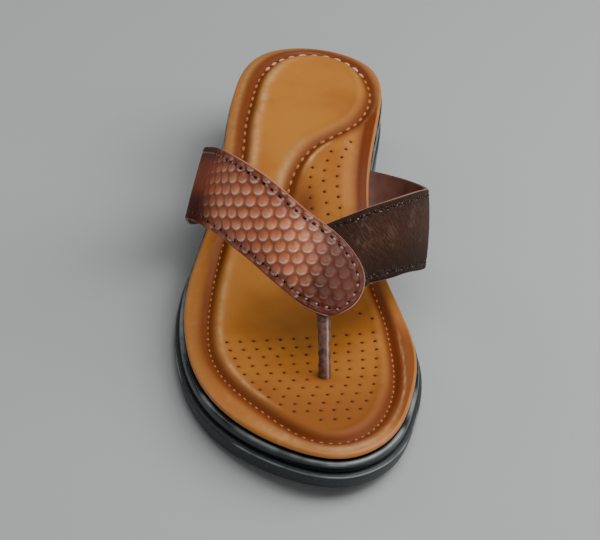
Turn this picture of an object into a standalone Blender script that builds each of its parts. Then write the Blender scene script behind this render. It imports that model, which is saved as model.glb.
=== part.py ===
"""Toe-post sandal for the right foot: two leather straps on a two-band wedge sole.

Lengths in this file are millimetres, and MM turns them into Blender's metres.
+X is the inner (medial) side, +Y the heel, +Z up. The origin is on the floor
under the middle of the heel seat. The pieces, from the floor up:

  outsole   lower band of the sole, with the tread face, arch and toe spring
  midsole   upper band of the sole, pocketed where the strap ends are lasted in
  footbed   leather-wrapped insole with a rolled rim and a sewn channel
  upper     both straps, joined where the outer one crosses the inner one
  toe_post  leather-wrapped post between the tip of the straps and the footbed
"""
import math

import bmesh
import bpy
import numpy as np

MM = 0.001

# ---- driving sizes -----------------------------------------------------------
CLEARANCE = 0.3          # between two pieces that lie on each other
STRAP_WALL = 2.4         # outer leather and lining together
STRAP_TUCK = 12.0        # length of strap held between footbed and midsole
RECESS_HEIGHT = 1.0      # dark gap between the footbed's edge and the sole's shoulder
RECESS_DEPTH = 2.4       # how far that gap reaches in from the footbed's edge
RIBS = 40                # stations from heel to toe
CROSS_POINTS = 5         # points across the sole between its two edges
SEAM_INSET = 9.0         # sewn channel, in from the footbed's edge
HEEL_FLARE = 0.5         # share of the bands' outset that is left round the heel
POST_SLOT = (6.6, 6.0)   # slot in the footbed for the post, across and along

# Footbed edge seen from above, clockwise from the heel.
FOOTBED_EDGE = (
    # x,     y
    (5.7, 47.5),
    (30.2, 34.8),
    (33.8, 1.9),
    (27.8, -38.1),
    (27.7, -77.4),
    (35.8, -110.9),
    (43.2, -147.7),
    (38.8, -183.8),
    (26.0, -214.5),
    (9.9, -226.0),
    (-17.5, -218.3),
    (-42.3, -190.8),
    (-52.8, -152.0),
    (-51.7, -112.6),
    (-42.2, -72.4),
    (-37.1, -30.4),
    (-32.5, 7.6),
    (-17.7, 40.8),
)

# Side view of the sole: heights along the shoe, at its inner and outer sides where
# they differ. The footbed leans a little towards the arch.
SIDE_VIEW = (
    # y,  footbed inner, footbed outer, band split, tread inner, tread outer
    (-236.0, 19.2, 19.2, 13.5, 6.7, 6.7),
    (-227.0, 18.5, 18.5, 12.7, 5.2, 5.2),
    (-213.0, 17.2, 17.2, 11.1, 3.2, 3.2),
    (-195.0, 15.8, 15.8, 9.4, 1.4, 1.4),
    (-178.0, 14.5, 14.5, 8.0, 0.3, 0.3),
    (-168.0, 13.8, 13.9, 7.4, 0.0, 0.0),
    (-155.0, 13.3, 13.6, 7.0, 0.0, 0.0),
    (-130.0, 13.0, 14.2, 7.4, 0.0, 0.0),
    (-105.0, 15.4, 17.3, 9.2, 0.0, 0.0),
    (-90.0, 18.9, 20.8, 11.2, 1.0, 0.4),
    (-75.0, 22.9, 24.8, 13.8, 2.1, 1.0),
    (-57.0, 28.0, 29.6, 17.2, 1.5, 0.8),
    (-37.0, 32.6, 33.6, 20.6, 0.1, 0.0),
    (-20.0, 35.3, 35.8, 22.4, 0.0, 0.0),
    (0.0, 37.2, 37.4, 23.6, 0.0, 0.0),
    (25.0, 38.1, 38.1, 24.2, 0.0, 0.0),
    (52.0, 38.1, 38.1, 24.3, 0.0, 0.0),
)

# Rings of each sole piece, bottom to top: outset from the footbed's edge, the
# height it is measured from, and how far above that height it lies.
OUTSOLE_RINGS = (
    # outset, from, above
    (1.1, "tread", 0.0),
    (2.3, "tread", 1.2),
    (2.9, "tread", 3.2),
    (3.1, "split", -2.0),
    (2.7, "split", -0.7),
    (1.9, "split", 0.0),
)
MIDSOLE_RINGS = (
    (0.9, "split", CLEARANCE),
    (1.3, "split", 0.9),
    (1.5, "shoulder", -2.2),
    (1.2, "shoulder", -0.8),
    (0.5, "shoulder", 0.0),
    (-0.8, "shoulder", -0.1),
    (-RECESS_DEPTH, "shoulder", -0.1),
    (-RECESS_DEPTH - 0.4, "footbed", -CLEARANCE),
)
FOOTBED_RINGS = (
    (-1.2, "footbed", 0.0),
    (-0.3, "footbed", 0.5),
    (0.0, "footbed", 1.6),
    (-0.6, "footbed", 2.4),
    (-2.6, "footbed", 2.9),
    (-5.0, "footbed", 3.8),
    (-6.8, "footbed", 4.2),
    (-8.1, "footbed", 3.8),
    (-SEAM_INSET, "footbed", 3.1),
    (-9.9, "footbed", 3.9),
    (-12.4, "cushion", 0.0),
)

# Cushion of the footbed: height over its underside, and the gentle forms on it.
CUSHION_HEIGHT = 5.0
CUSHION_FORMS = (
    # name, x, y, half width, half length, height
    ("heel cup", 1.0, 6.0, 17.0, 26.0, -1.3),
    ("arch", 22.0, -74.0, 15.0, 34.0, 2.4),
    ("ball of the foot", -4.0, -140.0, 30.0, 34.0, -0.9),
)

# Strap ends: which edge of the footbed, and where along it they are lasted in.
OUTER_STRAP_ROOT = {"side": -1, "rear_y": -38.0, "front_y": -76.0}
INNER_STRAP_ROOT = {"side": 1, "rear_y": -39.0, "front_y": -88.0}

# Outer strap, from its root over the instep to the tip: the middle of its wall
# at the rear edge and at the front edge, and how far it is domed between them.
OUTER_STRAP = (
    # rear edge x, y, z,    front edge x, y, z,     dome
    (-43.8, -39.5, 34.6, -50.4, -80.5, 25.6, 0.0),
    (-45.7, -43.5, 40.5, -53.4, -88.5, 33.4, 0.2),
    (-44.9, -52.0, 46.8, -53.1, -97.0, 39.5, 0.6),
    (-43.0, -69.0, 58.0, -50.0, -104.0, 43.0, 1.2),
    (-40.0, -87.0, 68.5, -46.5, -110.5, 45.0, 1.6),
    (-36.0, -100.0, 74.5, -42.3, -115.5, 46.0, 1.8),
    (-30.0, -110.0, 77.0, -36.5, -123.8, 46.5, 1.8),
    (-23.0, -116.7, 76.2, -29.5, -132.0, 46.0, 1.8),
    (-14.0, -123.5, 72.2, -20.3, -144.0, 45.0, 1.8),
    (-4.3, -129.9, 67.6, -13.2, -152.7, 44.0, 1.6),
    (6.4, -134.8, 62.0, -7.2, -159.4, 43.2, 1.3),
    (13.6, -141.6, 57.4, -3.4, -161.6, 42.6, 1.0),
    (17.6, -150.4, 52.2, -0.9, -162.4, 42.2, 0.7),
    (15.6, -158.0, 47.6, 0.5, -162.9, 42.0, 0.4),
    (10.6, -162.2, 44.4, 1.5, -163.3, 41.9, 0.2),
    (5.6, -163.4, 42.6, 2.4, -163.6, 41.9, 0.0),
)

# Inner strap, from its root up to where it goes under the outer strap.
INNER_STRAP = (
    (38.6, -47.5, 34.6, 38.2, -94.0, 21.8, 0.0),
    (45.2, -61.0, 41.4, 45.4, -103.0, 25.6, 0.3),
    (48.0, -76.0, 49.0, 46.9, -109.3, 30.0, 0.8),
    (43.2, -94.5, 60.0, 44.4, -115.0, 33.2, 1.3),
    (38.2, -105.0, 65.5, 41.0, -120.5, 36.4, 1.5),
    (32.5, -113.5, 69.0, 35.6, -128.6, 40.6, 1.5),
    (26.0, -119.5, 70.2, 30.6, -135.4, 43.2, 1.5),
    (18.4, -124.0, 69.6, 24.8, -141.6, 45.4, 1.3),
    (9.6, -127.5, 67.0, 19.6, -146.6, 46.8, 1.0),
)

# Where the inner strap passes the outer one's rear edge and where it stops under
# it: shares of the outer strap's length and width, at the inner strap's two edges.
UNDERLAP = (
    # length at rear, length at front, width at rear, width at front
    (0.812, 0.945, 0.00, 0.00),
    (0.800, 0.962, 0.30, 0.34),
)
UNDERLAP_DROP = 1.9      # between the middles of the two walls, so that they join

# Toe post, from its sewn end under the straps down into the footbed's slot.
TOE_POST = (
    # x,   y,      z,    width, thickness
    (1.2, -158.4, 42.4, 6.0, 1.5),
    (1.6, -161.8, 39.4, 5.7, 2.4),
    (2.1, -165.4, 35.0, 5.2, 3.7),
    (2.7, -169.2, 28.6, 4.9, 4.0),
    (3.3, -172.2, 22.4, 5.1, 4.1),
    (3.6, -173.3, 17.8, 5.4, 4.1),
    (3.6, -173.4, 14.8, 5.2, 3.9),
)
POST_SIDES = 12

STRAP_COLUMNS = 7
OUTER_STRAP_ROWS = 46
INNER_STRAP_ROWS = 36


# ---- curves -----------------------------------------------------------------
def natural_spline(knots, values, at):
    """Values of the natural cubic spline through (knots, values) at 'at'."""
    knots, values, at = (np.asarray(a, float) for a in (knots, values, at))
    gap = np.diff(knots)
    slope = np.diff(values, axis=0) / gap.reshape((-1,) + (1,) * (values.ndim - 1))
    count = len(knots)
    system = np.eye(count)
    right = np.zeros_like(values)
    for i in range(1, count - 1):
        system[i, i - 1:i + 2] = gap[i - 1], 2 * (gap[i - 1] + gap[i]), gap[i]
        right[i] = 6 * (slope[i] - slope[i - 1])
    bend = np.linalg.solve(system, right.reshape(count, -1)).reshape(values.shape)
    k = np.clip(np.searchsorted(knots, at, side="right") - 1, 0, count - 2)
    shape = (-1,) + (1,) * (values.ndim - 1)
    h, a = gap[k].reshape(shape), (at - knots[k]).reshape(shape)
    b = h - a
    return (bend[k] * b ** 3 / (6 * h) + bend[k + 1] * a ** 3 / (6 * h)
            + (values[k] / h - bend[k] * h / 6) * b
            + (values[k + 1] / h - bend[k + 1] * h / 6) * a)


def level_curve(places, heights, at):
    """A curve through the heights that never overshoots, so flats stay flat."""
    places, heights = np.asarray(places, float), np.asarray(heights, float)
    gap = np.diff(places)
    slope = np.diff(heights) / gap
    lean = np.zeros(len(places))
    for i in range(1, len(places) - 1):
        if slope[i - 1] * slope[i] > 0:
            before, after = 2 * gap[i] + gap[i - 1], gap[i] + 2 * gap[i - 1]
            lean[i] = (before + after) / (before / slope[i - 1] + after / slope[i])
    at = np.clip(np.asarray(at, float), places[0], places[-1])
    k = np.clip(np.searchsorted(places, at, side="right") - 1, 0, len(places) - 2)
    h = gap[k]
    t = (at - places[k]) / h
    return (heights[k] * (1 + 2 * t) * (1 - t) ** 2 + h * lean[k] * t * (1 - t) ** 2
            + heights[k + 1] * t * t * (3 - 2 * t) - h * lean[k + 1] * t * t * (1 - t))


def chord_lengths(points):
    """Distance along the points, from the first one."""
    steps = np.linalg.norm(np.diff(points, axis=0), axis=1)
    return np.concatenate(([0.0], np.cumsum(steps)))


class Edge:
    """The footbed's edge from above, sampled finely, with its outward normals."""

    def __init__(self):
        wrap = 4
        points = np.array(FOOTBED_EDGE[-wrap:] + FOOTBED_EDGE + FOOTBED_EDGE[:wrap + 1])
        knots = chord_lengths(points)
        at = np.linspace(knots[wrap], knots[-wrap - 1], 3001)[:-1]
        line = natural_spline(knots, points, at)
        line = np.roll(line, -int(line[:, 1].argmax()), axis=0)
        along = np.roll(line, -1, axis=0) - np.roll(line, 1, axis=0)
        along /= np.linalg.norm(along, axis=1)[:, None]
        normal = np.stack((-along[:, 1], along[:, 0]), axis=1)
        toe = int(line[:, 1].argmin())
        self.heel_y, self.toe_y = line[0, 1], line[toe, 1]
        self.sides = {1: (line[:toe + 1], normal[:toe + 1]),
                      -1: (line[toe:][::-1], normal[toe:][::-1])}

    def at(self, side, y, outset=0.0):
        """Point of one side at y, moved outwards by outset."""
        line, normal = self.sides[side]
        y = np.asarray(y, float)
        order = line[::-1, 1]
        point = np.stack([np.interp(y, order, line[::-1, c]) for c in (0, 1)], axis=-1)
        out = np.stack([np.interp(y, order, normal[::-1, c]) for c in (0, 1)], axis=-1)
        out /= np.linalg.norm(out, axis=-1, keepdims=True)
        return point + out * outset

    def ring(self, outset):
        """Points round the sole: heel, inner side, toe, outer side."""
        turn = np.cos(np.linspace(0.0, math.pi, RIBS + 1))
        y = (self.heel_y + self.toe_y) / 2 + (self.heel_y - self.toe_y) / 2 * turn
        if outset > 0:
            behind = np.clip((y + 100.0) / 70.0, 0.0, 1.0)
            share = 1 - (1 - HEEL_FLARE) * behind ** 2 * (3 - 2 * behind)
            outset = (outset * share)[:, None]
        inner = self.at(1, y, outset)
        outer = self.at(-1, y, outset)[-2:0:-1]
        return np.concatenate((inner, outer))


EDGE = Edge()
(SIDE_Y, FOOTBED_INNER_Z, FOOTBED_OUTER_Z, SPLIT_Z,
 TREAD_INNER_Z, TREAD_OUTER_Z) = np.array(SIDE_VIEW).T


def height(datum, x, y):
    """Height of one of the sole's surfaces at x, y."""
    share = np.clip((np.asarray(x) + 45.0) / 75.0, 0.0, 1.0)
    if datum == "tread":
        inner = level_curve(SIDE_Y, TREAD_INNER_Z, y)
        outer = level_curve(SIDE_Y, TREAD_OUTER_Z, y)
        return outer + (inner - outer) * share
    if datum == "split":
        return level_curve(SIDE_Y, SPLIT_Z, y)
    inner = level_curve(SIDE_Y, FOOTBED_INNER_Z, y)
    outer = level_curve(SIDE_Y, FOOTBED_OUTER_Z, y)
    underside = outer + (inner - outer) * share
    if datum == "shoulder":
        return underside - RECESS_HEIGHT
    if datum == "cushion":
        underside = underside + CUSHION_HEIGHT
        for _, cx, cy, half_x, half_y, rise in CUSHION_FORMS:
            far = ((x - cx) / half_x) ** 2 + ((y - cy) / half_y) ** 2
            underside = underside + rise * np.exp(-far)
    return underside


# ---- meshes -----------------------------------------------------------------
def material(name, colour, roughness):
    """Plain Principled material."""
    made = bpy.data.materials.new(name)
    made.use_nodes = True
    shader = made.node_tree.nodes["Principled BSDF"]
    shader.inputs["Base Color"].default_value = (*colour, 1.0)
    shader.inputs["Roughness"].default_value = roughness
    shader.inputs["Metallic"].default_value = 0.0
    made.diffuse_color = (*colour, 1.0)
    return made


def mesh_object(name, points, faces, finish=None, helper=False):
    """Object from millimetre points, with its faces turned outwards."""
    mesh = bpy.data.meshes.new(name)
    mesh.from_pydata([tuple(float(c) * MM for c in p) for p in points], [], faces)
    work = bmesh.new()
    work.from_mesh(mesh)
    bmesh.ops.recalc_face_normals(work, faces=work.faces)
    work.to_mesh(mesh)
    work.free()
    made = bpy.data.objects.new(name, mesh)
    bpy.context.scene.collection.objects.link(made)
    if helper:
        made.hide_render = True
        made.display_type = "WIRE"
    else:
        mesh.materials.append(finish)
        mesh.shade_smooth()
        mesh.set_sharp_from_angle(angle=math.radians(40))
    return made


def boolean(target, helper, operation):
    """Live Boolean on target, with the helper left out of the model."""
    step = target.modifiers.new(helper.name, "BOOLEAN")
    step.operation = operation
    step.solver = "EXACT"
    step.object = helper


def fill_rows(points, faces, first_ring, datum, lift):
    """Close a ring with rows of points across the sole, from heel to toe."""
    count = 2 * RIBS
    rows = []
    for i in range(1, RIBS):
        a, b = points[first_ring + i], points[first_ring + count - i]
        row = [first_ring + i]
        for k in range(1, CROSS_POINTS + 1):
            x, y = a[:2] + (b[:2] - a[:2]) * k / (CROSS_POINTS + 1)
            row.append(len(points))
            points.append(np.array((x, y, float(height(datum, x, y)) + lift)))
        row.append(first_ring + count - i)
        rows.append(row)
    heel, toe = first_ring, first_ring + RIBS
    for k in range(CROSS_POINTS + 1):
        faces.append((heel, rows[0][k], rows[0][k + 1]))
        faces.append((toe, rows[-1][k + 1], rows[-1][k]))
    for low, high in zip(rows, rows[1:]):
        for k in range(CROSS_POINTS + 1):
            faces.append((low[k], high[k], high[k + 1], low[k + 1]))


def sole_piece(name, rings, finish):
    """Closed solid from stacked rings, filled across at its bottom and top."""
    count = 2 * RIBS
    points, faces = [], []
    for outset, datum, lift in rings:
        for x, y in EDGE.ring(outset):
            points.append(np.array((x, y, float(height(datum, x, y)) + lift)))
    for r in range(len(rings) - 1):
        low, high = r * count, (r + 1) * count
        for i in range(count):
            j = (i + 1) % count
            faces.append((low + i, low + j, high + j, high + i))
    fill_rows(points, faces, 0, rings[0][1], rings[0][2])
    fill_rows(points, faces, (len(rings) - 1) * count, rings[-1][1], rings[-1][2])
    return mesh_object(name, points, faces, finish)


def strip(rows):
    """Closed solid between consecutive rings of equal length, with end caps."""
    count = len(rows[0])
    points = [p for row in rows for p in row]
    faces = []
    for r in range(len(rows) - 1):
        for i in range(count):
            j = (i + 1) % count
            faces.append((r * count + i, r * count + j,
                          (r + 1) * count + j, (r + 1) * count + i))
    faces.append(tuple(range(count))[::-1])
    faces.append(tuple((len(rows) - 1) * count + i for i in range(count)))
    return points, faces


def strap_pocket(name, root):
    """Cutter for the pocket that a strap end is lasted into."""
    margin, steps = 0.8, 9
    floor = STRAP_WALL + 2 * CLEARANCE
    rows = []
    for y in np.linspace(root["rear_y"] + margin, root["front_y"] - margin, steps):
        row = []
        for outset, lift in ((-STRAP_TUCK - 0.5, 3.0), (-STRAP_TUCK - 0.5, -floor),
                             (7.0, -floor), (7.0, 3.0)):
            px, py = EDGE.at(root["side"], y, outset)
            row.append((px, py, float(height("footbed", px, py)) + lift))
        rows.append(row)
    return mesh_object(name, *strip(rows), helper=True)


# ---- straps ------------------------------------------------------------------
def root_rows(root):
    """Middle of a strap's wall between footbed and midsole, inner end first."""
    ys = np.linspace(root["rear_y"], root["front_y"], STRAP_COLUMNS)
    middle = CLEARANCE + STRAP_WALL / 2
    rows = []
    for outset in (-STRAP_TUCK, -STRAP_TUCK / 2, -3.0, -1.2, 0.0, 1.0, 1.9):
        plan = EDGE.at(root["side"], ys, outset)
        level = height("footbed", plan[:, 0], plan[:, 1]) - middle
        rows.append(np.column_stack((plan, level)))
    return rows


def table_rows(table, side):
    """Middle of a strap's wall at each row of its table, domed between its edges."""
    table = np.array(table)
    rear, front, dome = table[:, 0:3], table[:, 3:6], table[:, 6]
    along = np.gradient((rear + front) / 2, axis=0)
    out = np.cross(along, front - rear) * side
    out /= np.linalg.norm(out, axis=1)[:, None]
    share = np.linspace(0.0, 1.0, STRAP_COLUMNS)
    rows = []
    for k in range(len(table)):
        line = rear[k] + (front[k] - rear[k]) * share[:, None]
        rise = dome[k] * 4 * share * (1 - share)
        rows.append(line + out[k] * rise[:, None])
    return rows


class StrapSheet:
    """Middle surface of a strap: smooth along it, one spline per column."""

    def __init__(self, rows, side):
        self.rows = np.array(rows)
        self.knots = chord_lengths(self.rows.mean(axis=1))
        self.side = side

    def points(self, lengths):
        """Rows of points at these shares of the strap's length."""
        return natural_spline(self.knots, self.rows, np.asarray(lengths) * self.knots[-1])

    def normals(self, lengths):
        """Outward normals of the same rows."""
        lengths = np.asarray(lengths)
        step = 0.002
        before, after = np.clip(lengths - step, 0, 1), np.clip(lengths + step, 0, 1)
        along = self.points(after) - self.points(before)
        across = np.gradient(self.points(lengths), axis=1)
        out = np.cross(along, across) * self.side
        return out / np.linalg.norm(out, axis=2, keepdims=True)

    def below(self, length, width, drop):
        """A point under the surface, at shares of its length and width."""
        middle = self.points([length])[0] - self.normals([length])[0] * drop
        columns = np.linspace(0.0, 1.0, middle.shape[0])
        return np.array([np.interp(width, columns, middle[:, c]) for c in range(3)])

    def solid(self, count):
        """Points and faces of the strap with its true wall."""
        lengths = np.linspace(0.0, 1.0, count)
        middle, out = self.points(lengths), self.normals(lengths)
        half = out * STRAP_WALL / 2
        rows = []
        for r in range(count):
            rows.append(list(middle[r] + half[r]) + list((middle[r] - half[r])[::-1]))
        columns = middle.shape[1]
        points = [p for row in rows for p in row]
        ring = 2 * columns
        faces = []
        for r in range(count - 1):
            for i in range(ring):
                j = (i + 1) % ring
                faces.append((r * ring + i, r * ring + j,
                              (r + 1) * ring + j, (r + 1) * ring + i))
        for base in (0, (count - 1) * ring):
            for i in range(columns - 1):
                faces.append((base + i, base + i + 1,
                              base + ring - 2 - i, base + ring - 1 - i))
        return points, faces


def outer_sheet():
    """The strap from the outer side, which ends in the rounded tip."""
    side = OUTER_STRAP_ROOT["side"]
    return StrapSheet(root_rows(OUTER_STRAP_ROOT) + table_rows(OUTER_STRAP, side), side)


def inner_sheet(over):
    """The strap from the inner side, which ends under the outer one."""
    side = INNER_STRAP_ROOT["side"]
    rows = root_rows(INNER_STRAP_ROOT) + table_rows(INNER_STRAP, side)
    share = np.linspace(0.0, 1.0, STRAP_COLUMNS)
    for rear_length, front_length, rear_width, front_width in UNDERLAP:
        lengths = rear_length + (front_length - rear_length) * share
        widths = rear_width + (front_width - rear_width) * share
        rows.append(np.array([over.below(length, width, UNDERLAP_DROP)
                              for length, width in zip(lengths, widths)]))
    return StrapSheet(rows, side)


def build_upper(finish):
    """Both straps as one solid."""
    over = outer_sheet()
    under = inner_sheet(over)
    upper = mesh_object("upper", *over.solid(OUTER_STRAP_ROWS), finish)
    strap = mesh_object("inner_strap_form", *under.solid(INNER_STRAP_ROWS), helper=True)
    boolean(upper, strap, "UNION")
    return upper


# ---- post --------------------------------------------------------------------
def build_toe_post(finish):
    """Oval post swept down its own curve."""
    table = np.array(TOE_POST)
    knots = chord_lengths(table[:, :3])
    steps = np.linspace(0.0, knots[-1], 18)
    spine = natural_spline(knots, table[:, :3], steps)
    widths = natural_spline(knots, table[:, 3], steps)
    depths = natural_spline(knots, table[:, 4], steps)
    along = np.gradient(spine, axis=0)
    across = np.array((1.0, 0.0, 0.0))
    rows = []
    for centre, forward, width, depth in zip(spine, along, widths, depths):
        face = np.cross(across, forward / np.linalg.norm(forward))
        face /= np.linalg.norm(face)
        row = []
        for k in range(POST_SIDES):
            turn = 2 * math.pi * k / POST_SIDES
            row.append(centre + across * width / 2 * math.cos(turn)
                       + face * depth / 2 * math.sin(turn))
        rows.append(row)
    return mesh_object("toe_post", *strip(rows), finish)


def post_slot():
    """Cutter for the slot in the footbed."""
    x, y = np.mean(np.array(TOE_POST)[-3:, :2], axis=0)
    base = float(height("footbed", x, y))
    rows = []
    for z in (base - 3.0, base + 9.0):
        rows.append([(x + POST_SLOT[0] / 2 * math.cos(2 * math.pi * k / POST_SIDES),
                      y + POST_SLOT[1] / 2 * math.sin(2 * math.pi * k / POST_SIDES), z)
                     for k in range(POST_SIDES)])
    return mesh_object("post_slot_form", *strip(rows), helper=True)


def main():
    """Build the five pieces."""
    for old in list(bpy.data.objects):
        bpy.data.objects.remove(old, do_unlink=True)
    lower_rubber = material("lower_rubber", (0.012, 0.018, 0.018), 0.62)
    upper_rubber = material("upper_rubber", (0.010, 0.016, 0.017), 0.28)
    tan_leather = material("tan_leather", (0.42, 0.19, 0.05), 0.38)
    brown_leather = material("brown_leather", (0.13, 0.045, 0.025), 0.42)
    dark_leather = material("dark_leather", (0.09, 0.04, 0.025), 0.42)

    sole_piece("outsole", OUTSOLE_RINGS, lower_rubber)
    midsole = sole_piece("midsole", MIDSOLE_RINGS, upper_rubber)
    boolean(midsole, strap_pocket("outer_pocket_form", OUTER_STRAP_ROOT), "DIFFERENCE")
    boolean(midsole, strap_pocket("inner_pocket_form", INNER_STRAP_ROOT), "DIFFERENCE")
    footbed = sole_piece("footbed", FOOTBED_RINGS, tan_leather)
    boolean(footbed, post_slot(), "DIFFERENCE")
    build_upper(brown_leather)
    build_toe_post(dark_leather)


main()
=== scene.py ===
"""Looks of a toe-post sandal for the right foot.

Lengths are millimetres, and MM turns them into metres. +X is the inner side of the
foot, +Y the heel and +Z up, with the origin on the floor under the heel seat.
"""
import logging
import math
from dataclasses import dataclass, field
from enum import Enum

import bpy
import numpy as np
from mathutils import Matrix, Vector


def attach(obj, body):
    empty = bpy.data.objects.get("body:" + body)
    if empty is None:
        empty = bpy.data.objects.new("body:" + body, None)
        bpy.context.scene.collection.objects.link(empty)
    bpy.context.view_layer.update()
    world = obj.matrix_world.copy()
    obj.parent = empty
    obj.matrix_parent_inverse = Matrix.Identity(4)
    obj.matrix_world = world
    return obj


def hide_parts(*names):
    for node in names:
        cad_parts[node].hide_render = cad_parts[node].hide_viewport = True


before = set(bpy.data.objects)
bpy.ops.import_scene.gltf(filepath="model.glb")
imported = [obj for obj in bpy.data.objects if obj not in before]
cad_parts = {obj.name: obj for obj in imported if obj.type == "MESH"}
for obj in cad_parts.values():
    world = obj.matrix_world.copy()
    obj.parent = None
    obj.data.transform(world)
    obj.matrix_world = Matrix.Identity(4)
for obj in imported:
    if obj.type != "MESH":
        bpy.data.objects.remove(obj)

LOG = logging.getLogger("sandal")
MM = 0.001
Colour = tuple[float, float, float]
Place = tuple[float, float, float]
Form = tuple[float, float, float]  # length, width, height
Pair = tuple[float, float]
Points = np.ndarray
Material = bpy.types.Material
Piece = bpy.types.Object
Socket = bpy.types.NodeSocket
TINY = 1e-9
SAMPLES = 2000


class Body(Enum):
    """Bodies of the part that pieces ride on."""

    ROOT = "root"


class Slot(Enum):
    """Material slots of the record."""

    OUTSOLE = "outsole_rubber"
    MIDSOLE = "midsole_rubber"
    FOOTBED = "footbed_leather"
    STRAP = "strap_leather"
    POST = "post_leather"


class Side(Enum):
    """Sides of the foot, as the sign of x."""

    INNER = 1
    OUTER = -1


class Datum(Enum):
    """Surfaces of the sole that heights are measured from."""

    TREAD = "tread"
    SPLIT = "split between the bands"
    SHOULDER = "shoulder round the recess"
    FOOTBED = "underside of the footbed"


TREAD, SPLIT, SHOULDER, FOOTBED = Datum


# ---- driving sizes, as in the part's source ----------------------------------
CLEARANCE = 0.3
STRAP_WALL = 2.4
STRAP_TUCK = 12.0
RECESS_HEIGHT = 1.0
RECESS_DEPTH = 2.4
HEEL_FLARE = 0.5
HEEL_FLARE_Y = (-100.0, -30.0)
CUSHION_HEIGHT = 5.0
UNDERLAP_DROP = 1.9
STRAP_COLUMNS = 7

FOOTBED_EDGE = (
    # x,     y
    (5.7, 47.5), (30.2, 34.8), (33.8, 1.9), (27.8, -38.1), (27.7, -77.4),
    (35.8, -110.9), (43.2, -147.7), (38.8, -183.8), (26.0, -214.5),
    (9.9, -226.0), (-17.5, -218.3), (-42.3, -190.8), (-52.8, -152.0),
    (-51.7, -112.6), (-42.2, -72.4), (-37.1, -30.4), (-32.5, 7.6), (-17.7, 40.8),
)
SIDE_VIEW_X = (-45.0, 30.0)  # of the outer and of the inner heights
SIDE_VIEW = (
    # y,  footbed inner, footbed outer, band split, tread inner, tread outer
    (-236.0, 19.2, 19.2, 13.5, 6.7, 6.7),
    (-227.0, 18.5, 18.5, 12.7, 5.2, 5.2),
    (-213.0, 17.2, 17.2, 11.1, 3.2, 3.2),
    (-195.0, 15.8, 15.8, 9.4, 1.4, 1.4),
    (-178.0, 14.5, 14.5, 8.0, 0.3, 0.3),
    (-168.0, 13.8, 13.9, 7.4, 0.0, 0.0),
    (-155.0, 13.3, 13.6, 7.0, 0.0, 0.0),
    (-130.0, 13.0, 14.2, 7.4, 0.0, 0.0),
    (-105.0, 15.4, 17.3, 9.2, 0.0, 0.0),
    (-90.0, 18.9, 20.8, 11.2, 1.0, 0.4),
    (-75.0, 22.9, 24.8, 13.8, 2.1, 1.0),
    (-57.0, 28.0, 29.6, 17.2, 1.5, 0.8),
    (-37.0, 32.6, 33.6, 20.6, 0.1, 0.0),
    (-20.0, 35.3, 35.8, 22.4, 0.0, 0.0),
    (0.0, 37.2, 37.4, 23.6, 0.0, 0.0),
    (25.0, 38.1, 38.1, 24.2, 0.0, 0.0),
    (52.0, 38.1, 38.1, 24.3, 0.0, 0.0),
)
CUSHION_FORMS = (
    # name, x, y, half width, half length, height
    ("heel cup", 1.0, 6.0, 17.0, 26.0, -1.3),
    ("arch", 22.0, -74.0, 15.0, 34.0, 2.4),
    ("ball of the foot", -4.0, -140.0, 30.0, 34.0, -0.9),
)
OUTER_STRAP = (
    # rear edge x, y, z,    front edge x, y, z,     dome
    (-43.8, -39.5, 34.6, -50.4, -80.5, 25.6, 0.0),
    (-45.7, -43.5, 40.5, -53.4, -88.5, 33.4, 0.2),
    (-44.9, -52.0, 46.8, -53.1, -97.0, 39.5, 0.6),
    (-43.0, -69.0, 58.0, -50.0, -104.0, 43.0, 1.2),
    (-40.0, -87.0, 68.5, -46.5, -110.5, 45.0, 1.6),
    (-36.0, -100.0, 74.5, -42.3, -115.5, 46.0, 1.8),
    (-30.0, -110.0, 77.0, -36.5, -123.8, 46.5, 1.8),
    (-23.0, -116.7, 76.2, -29.5, -132.0, 46.0, 1.8),
    (-14.0, -123.5, 72.2, -20.3, -144.0, 45.0, 1.8),
    (-4.3, -129.9, 67.6, -13.2, -152.7, 44.0, 1.6),
    (6.4, -134.8, 62.0, -7.2, -159.4, 43.2, 1.3),
    (13.6, -141.6, 57.4, -3.4, -161.6, 42.6, 1.0),
    (17.6, -150.4, 52.2, -0.9, -162.4, 42.2, 0.7),
    (15.6, -158.0, 47.6, 0.5, -162.9, 42.0, 0.4),
    (10.6, -162.2, 44.4, 1.5, -163.3, 41.9, 0.2),
    (5.6, -163.4, 42.6, 2.4, -163.6, 41.9, 0.0),
)
INNER_STRAP = (
    (38.6, -47.5, 34.6, 38.2, -94.0, 21.8, 0.0),
    (45.2, -61.0, 41.4, 45.4, -103.0, 25.6, 0.3),
    (48.0, -76.0, 49.0, 46.9, -109.3, 30.0, 0.8),
    (43.2, -94.5, 60.0, 44.4, -115.0, 33.2, 1.3),
    (38.2, -105.0, 65.5, 41.0, -120.5, 36.4, 1.5),
    (32.5, -113.5, 69.0, 35.6, -128.6, 40.6, 1.5),
    (26.0, -119.5, 70.2, 30.6, -135.4, 43.2, 1.5),
    (18.4, -124.0, 69.6, 24.8, -141.6, 45.4, 1.3),
    (9.6, -127.5, 67.0, 19.6, -146.6, 46.8, 1.0),
)
ROOT_OUTSETS = (-STRAP_TUCK, -STRAP_TUCK / 2, -3.0, -1.2, 0.0, 1.0, 1.9)
OUTER_STRAP_ROOT = (-38.0, -76.0)
INNER_STRAP_ROOT = (-39.0, -88.0)
UNDERLAP = (
    # length at rear, length at front, width at rear, width at front
    (0.812, 0.945, 0.00, 0.00),
    (0.800, 0.962, 0.30, 0.34),
)
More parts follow.
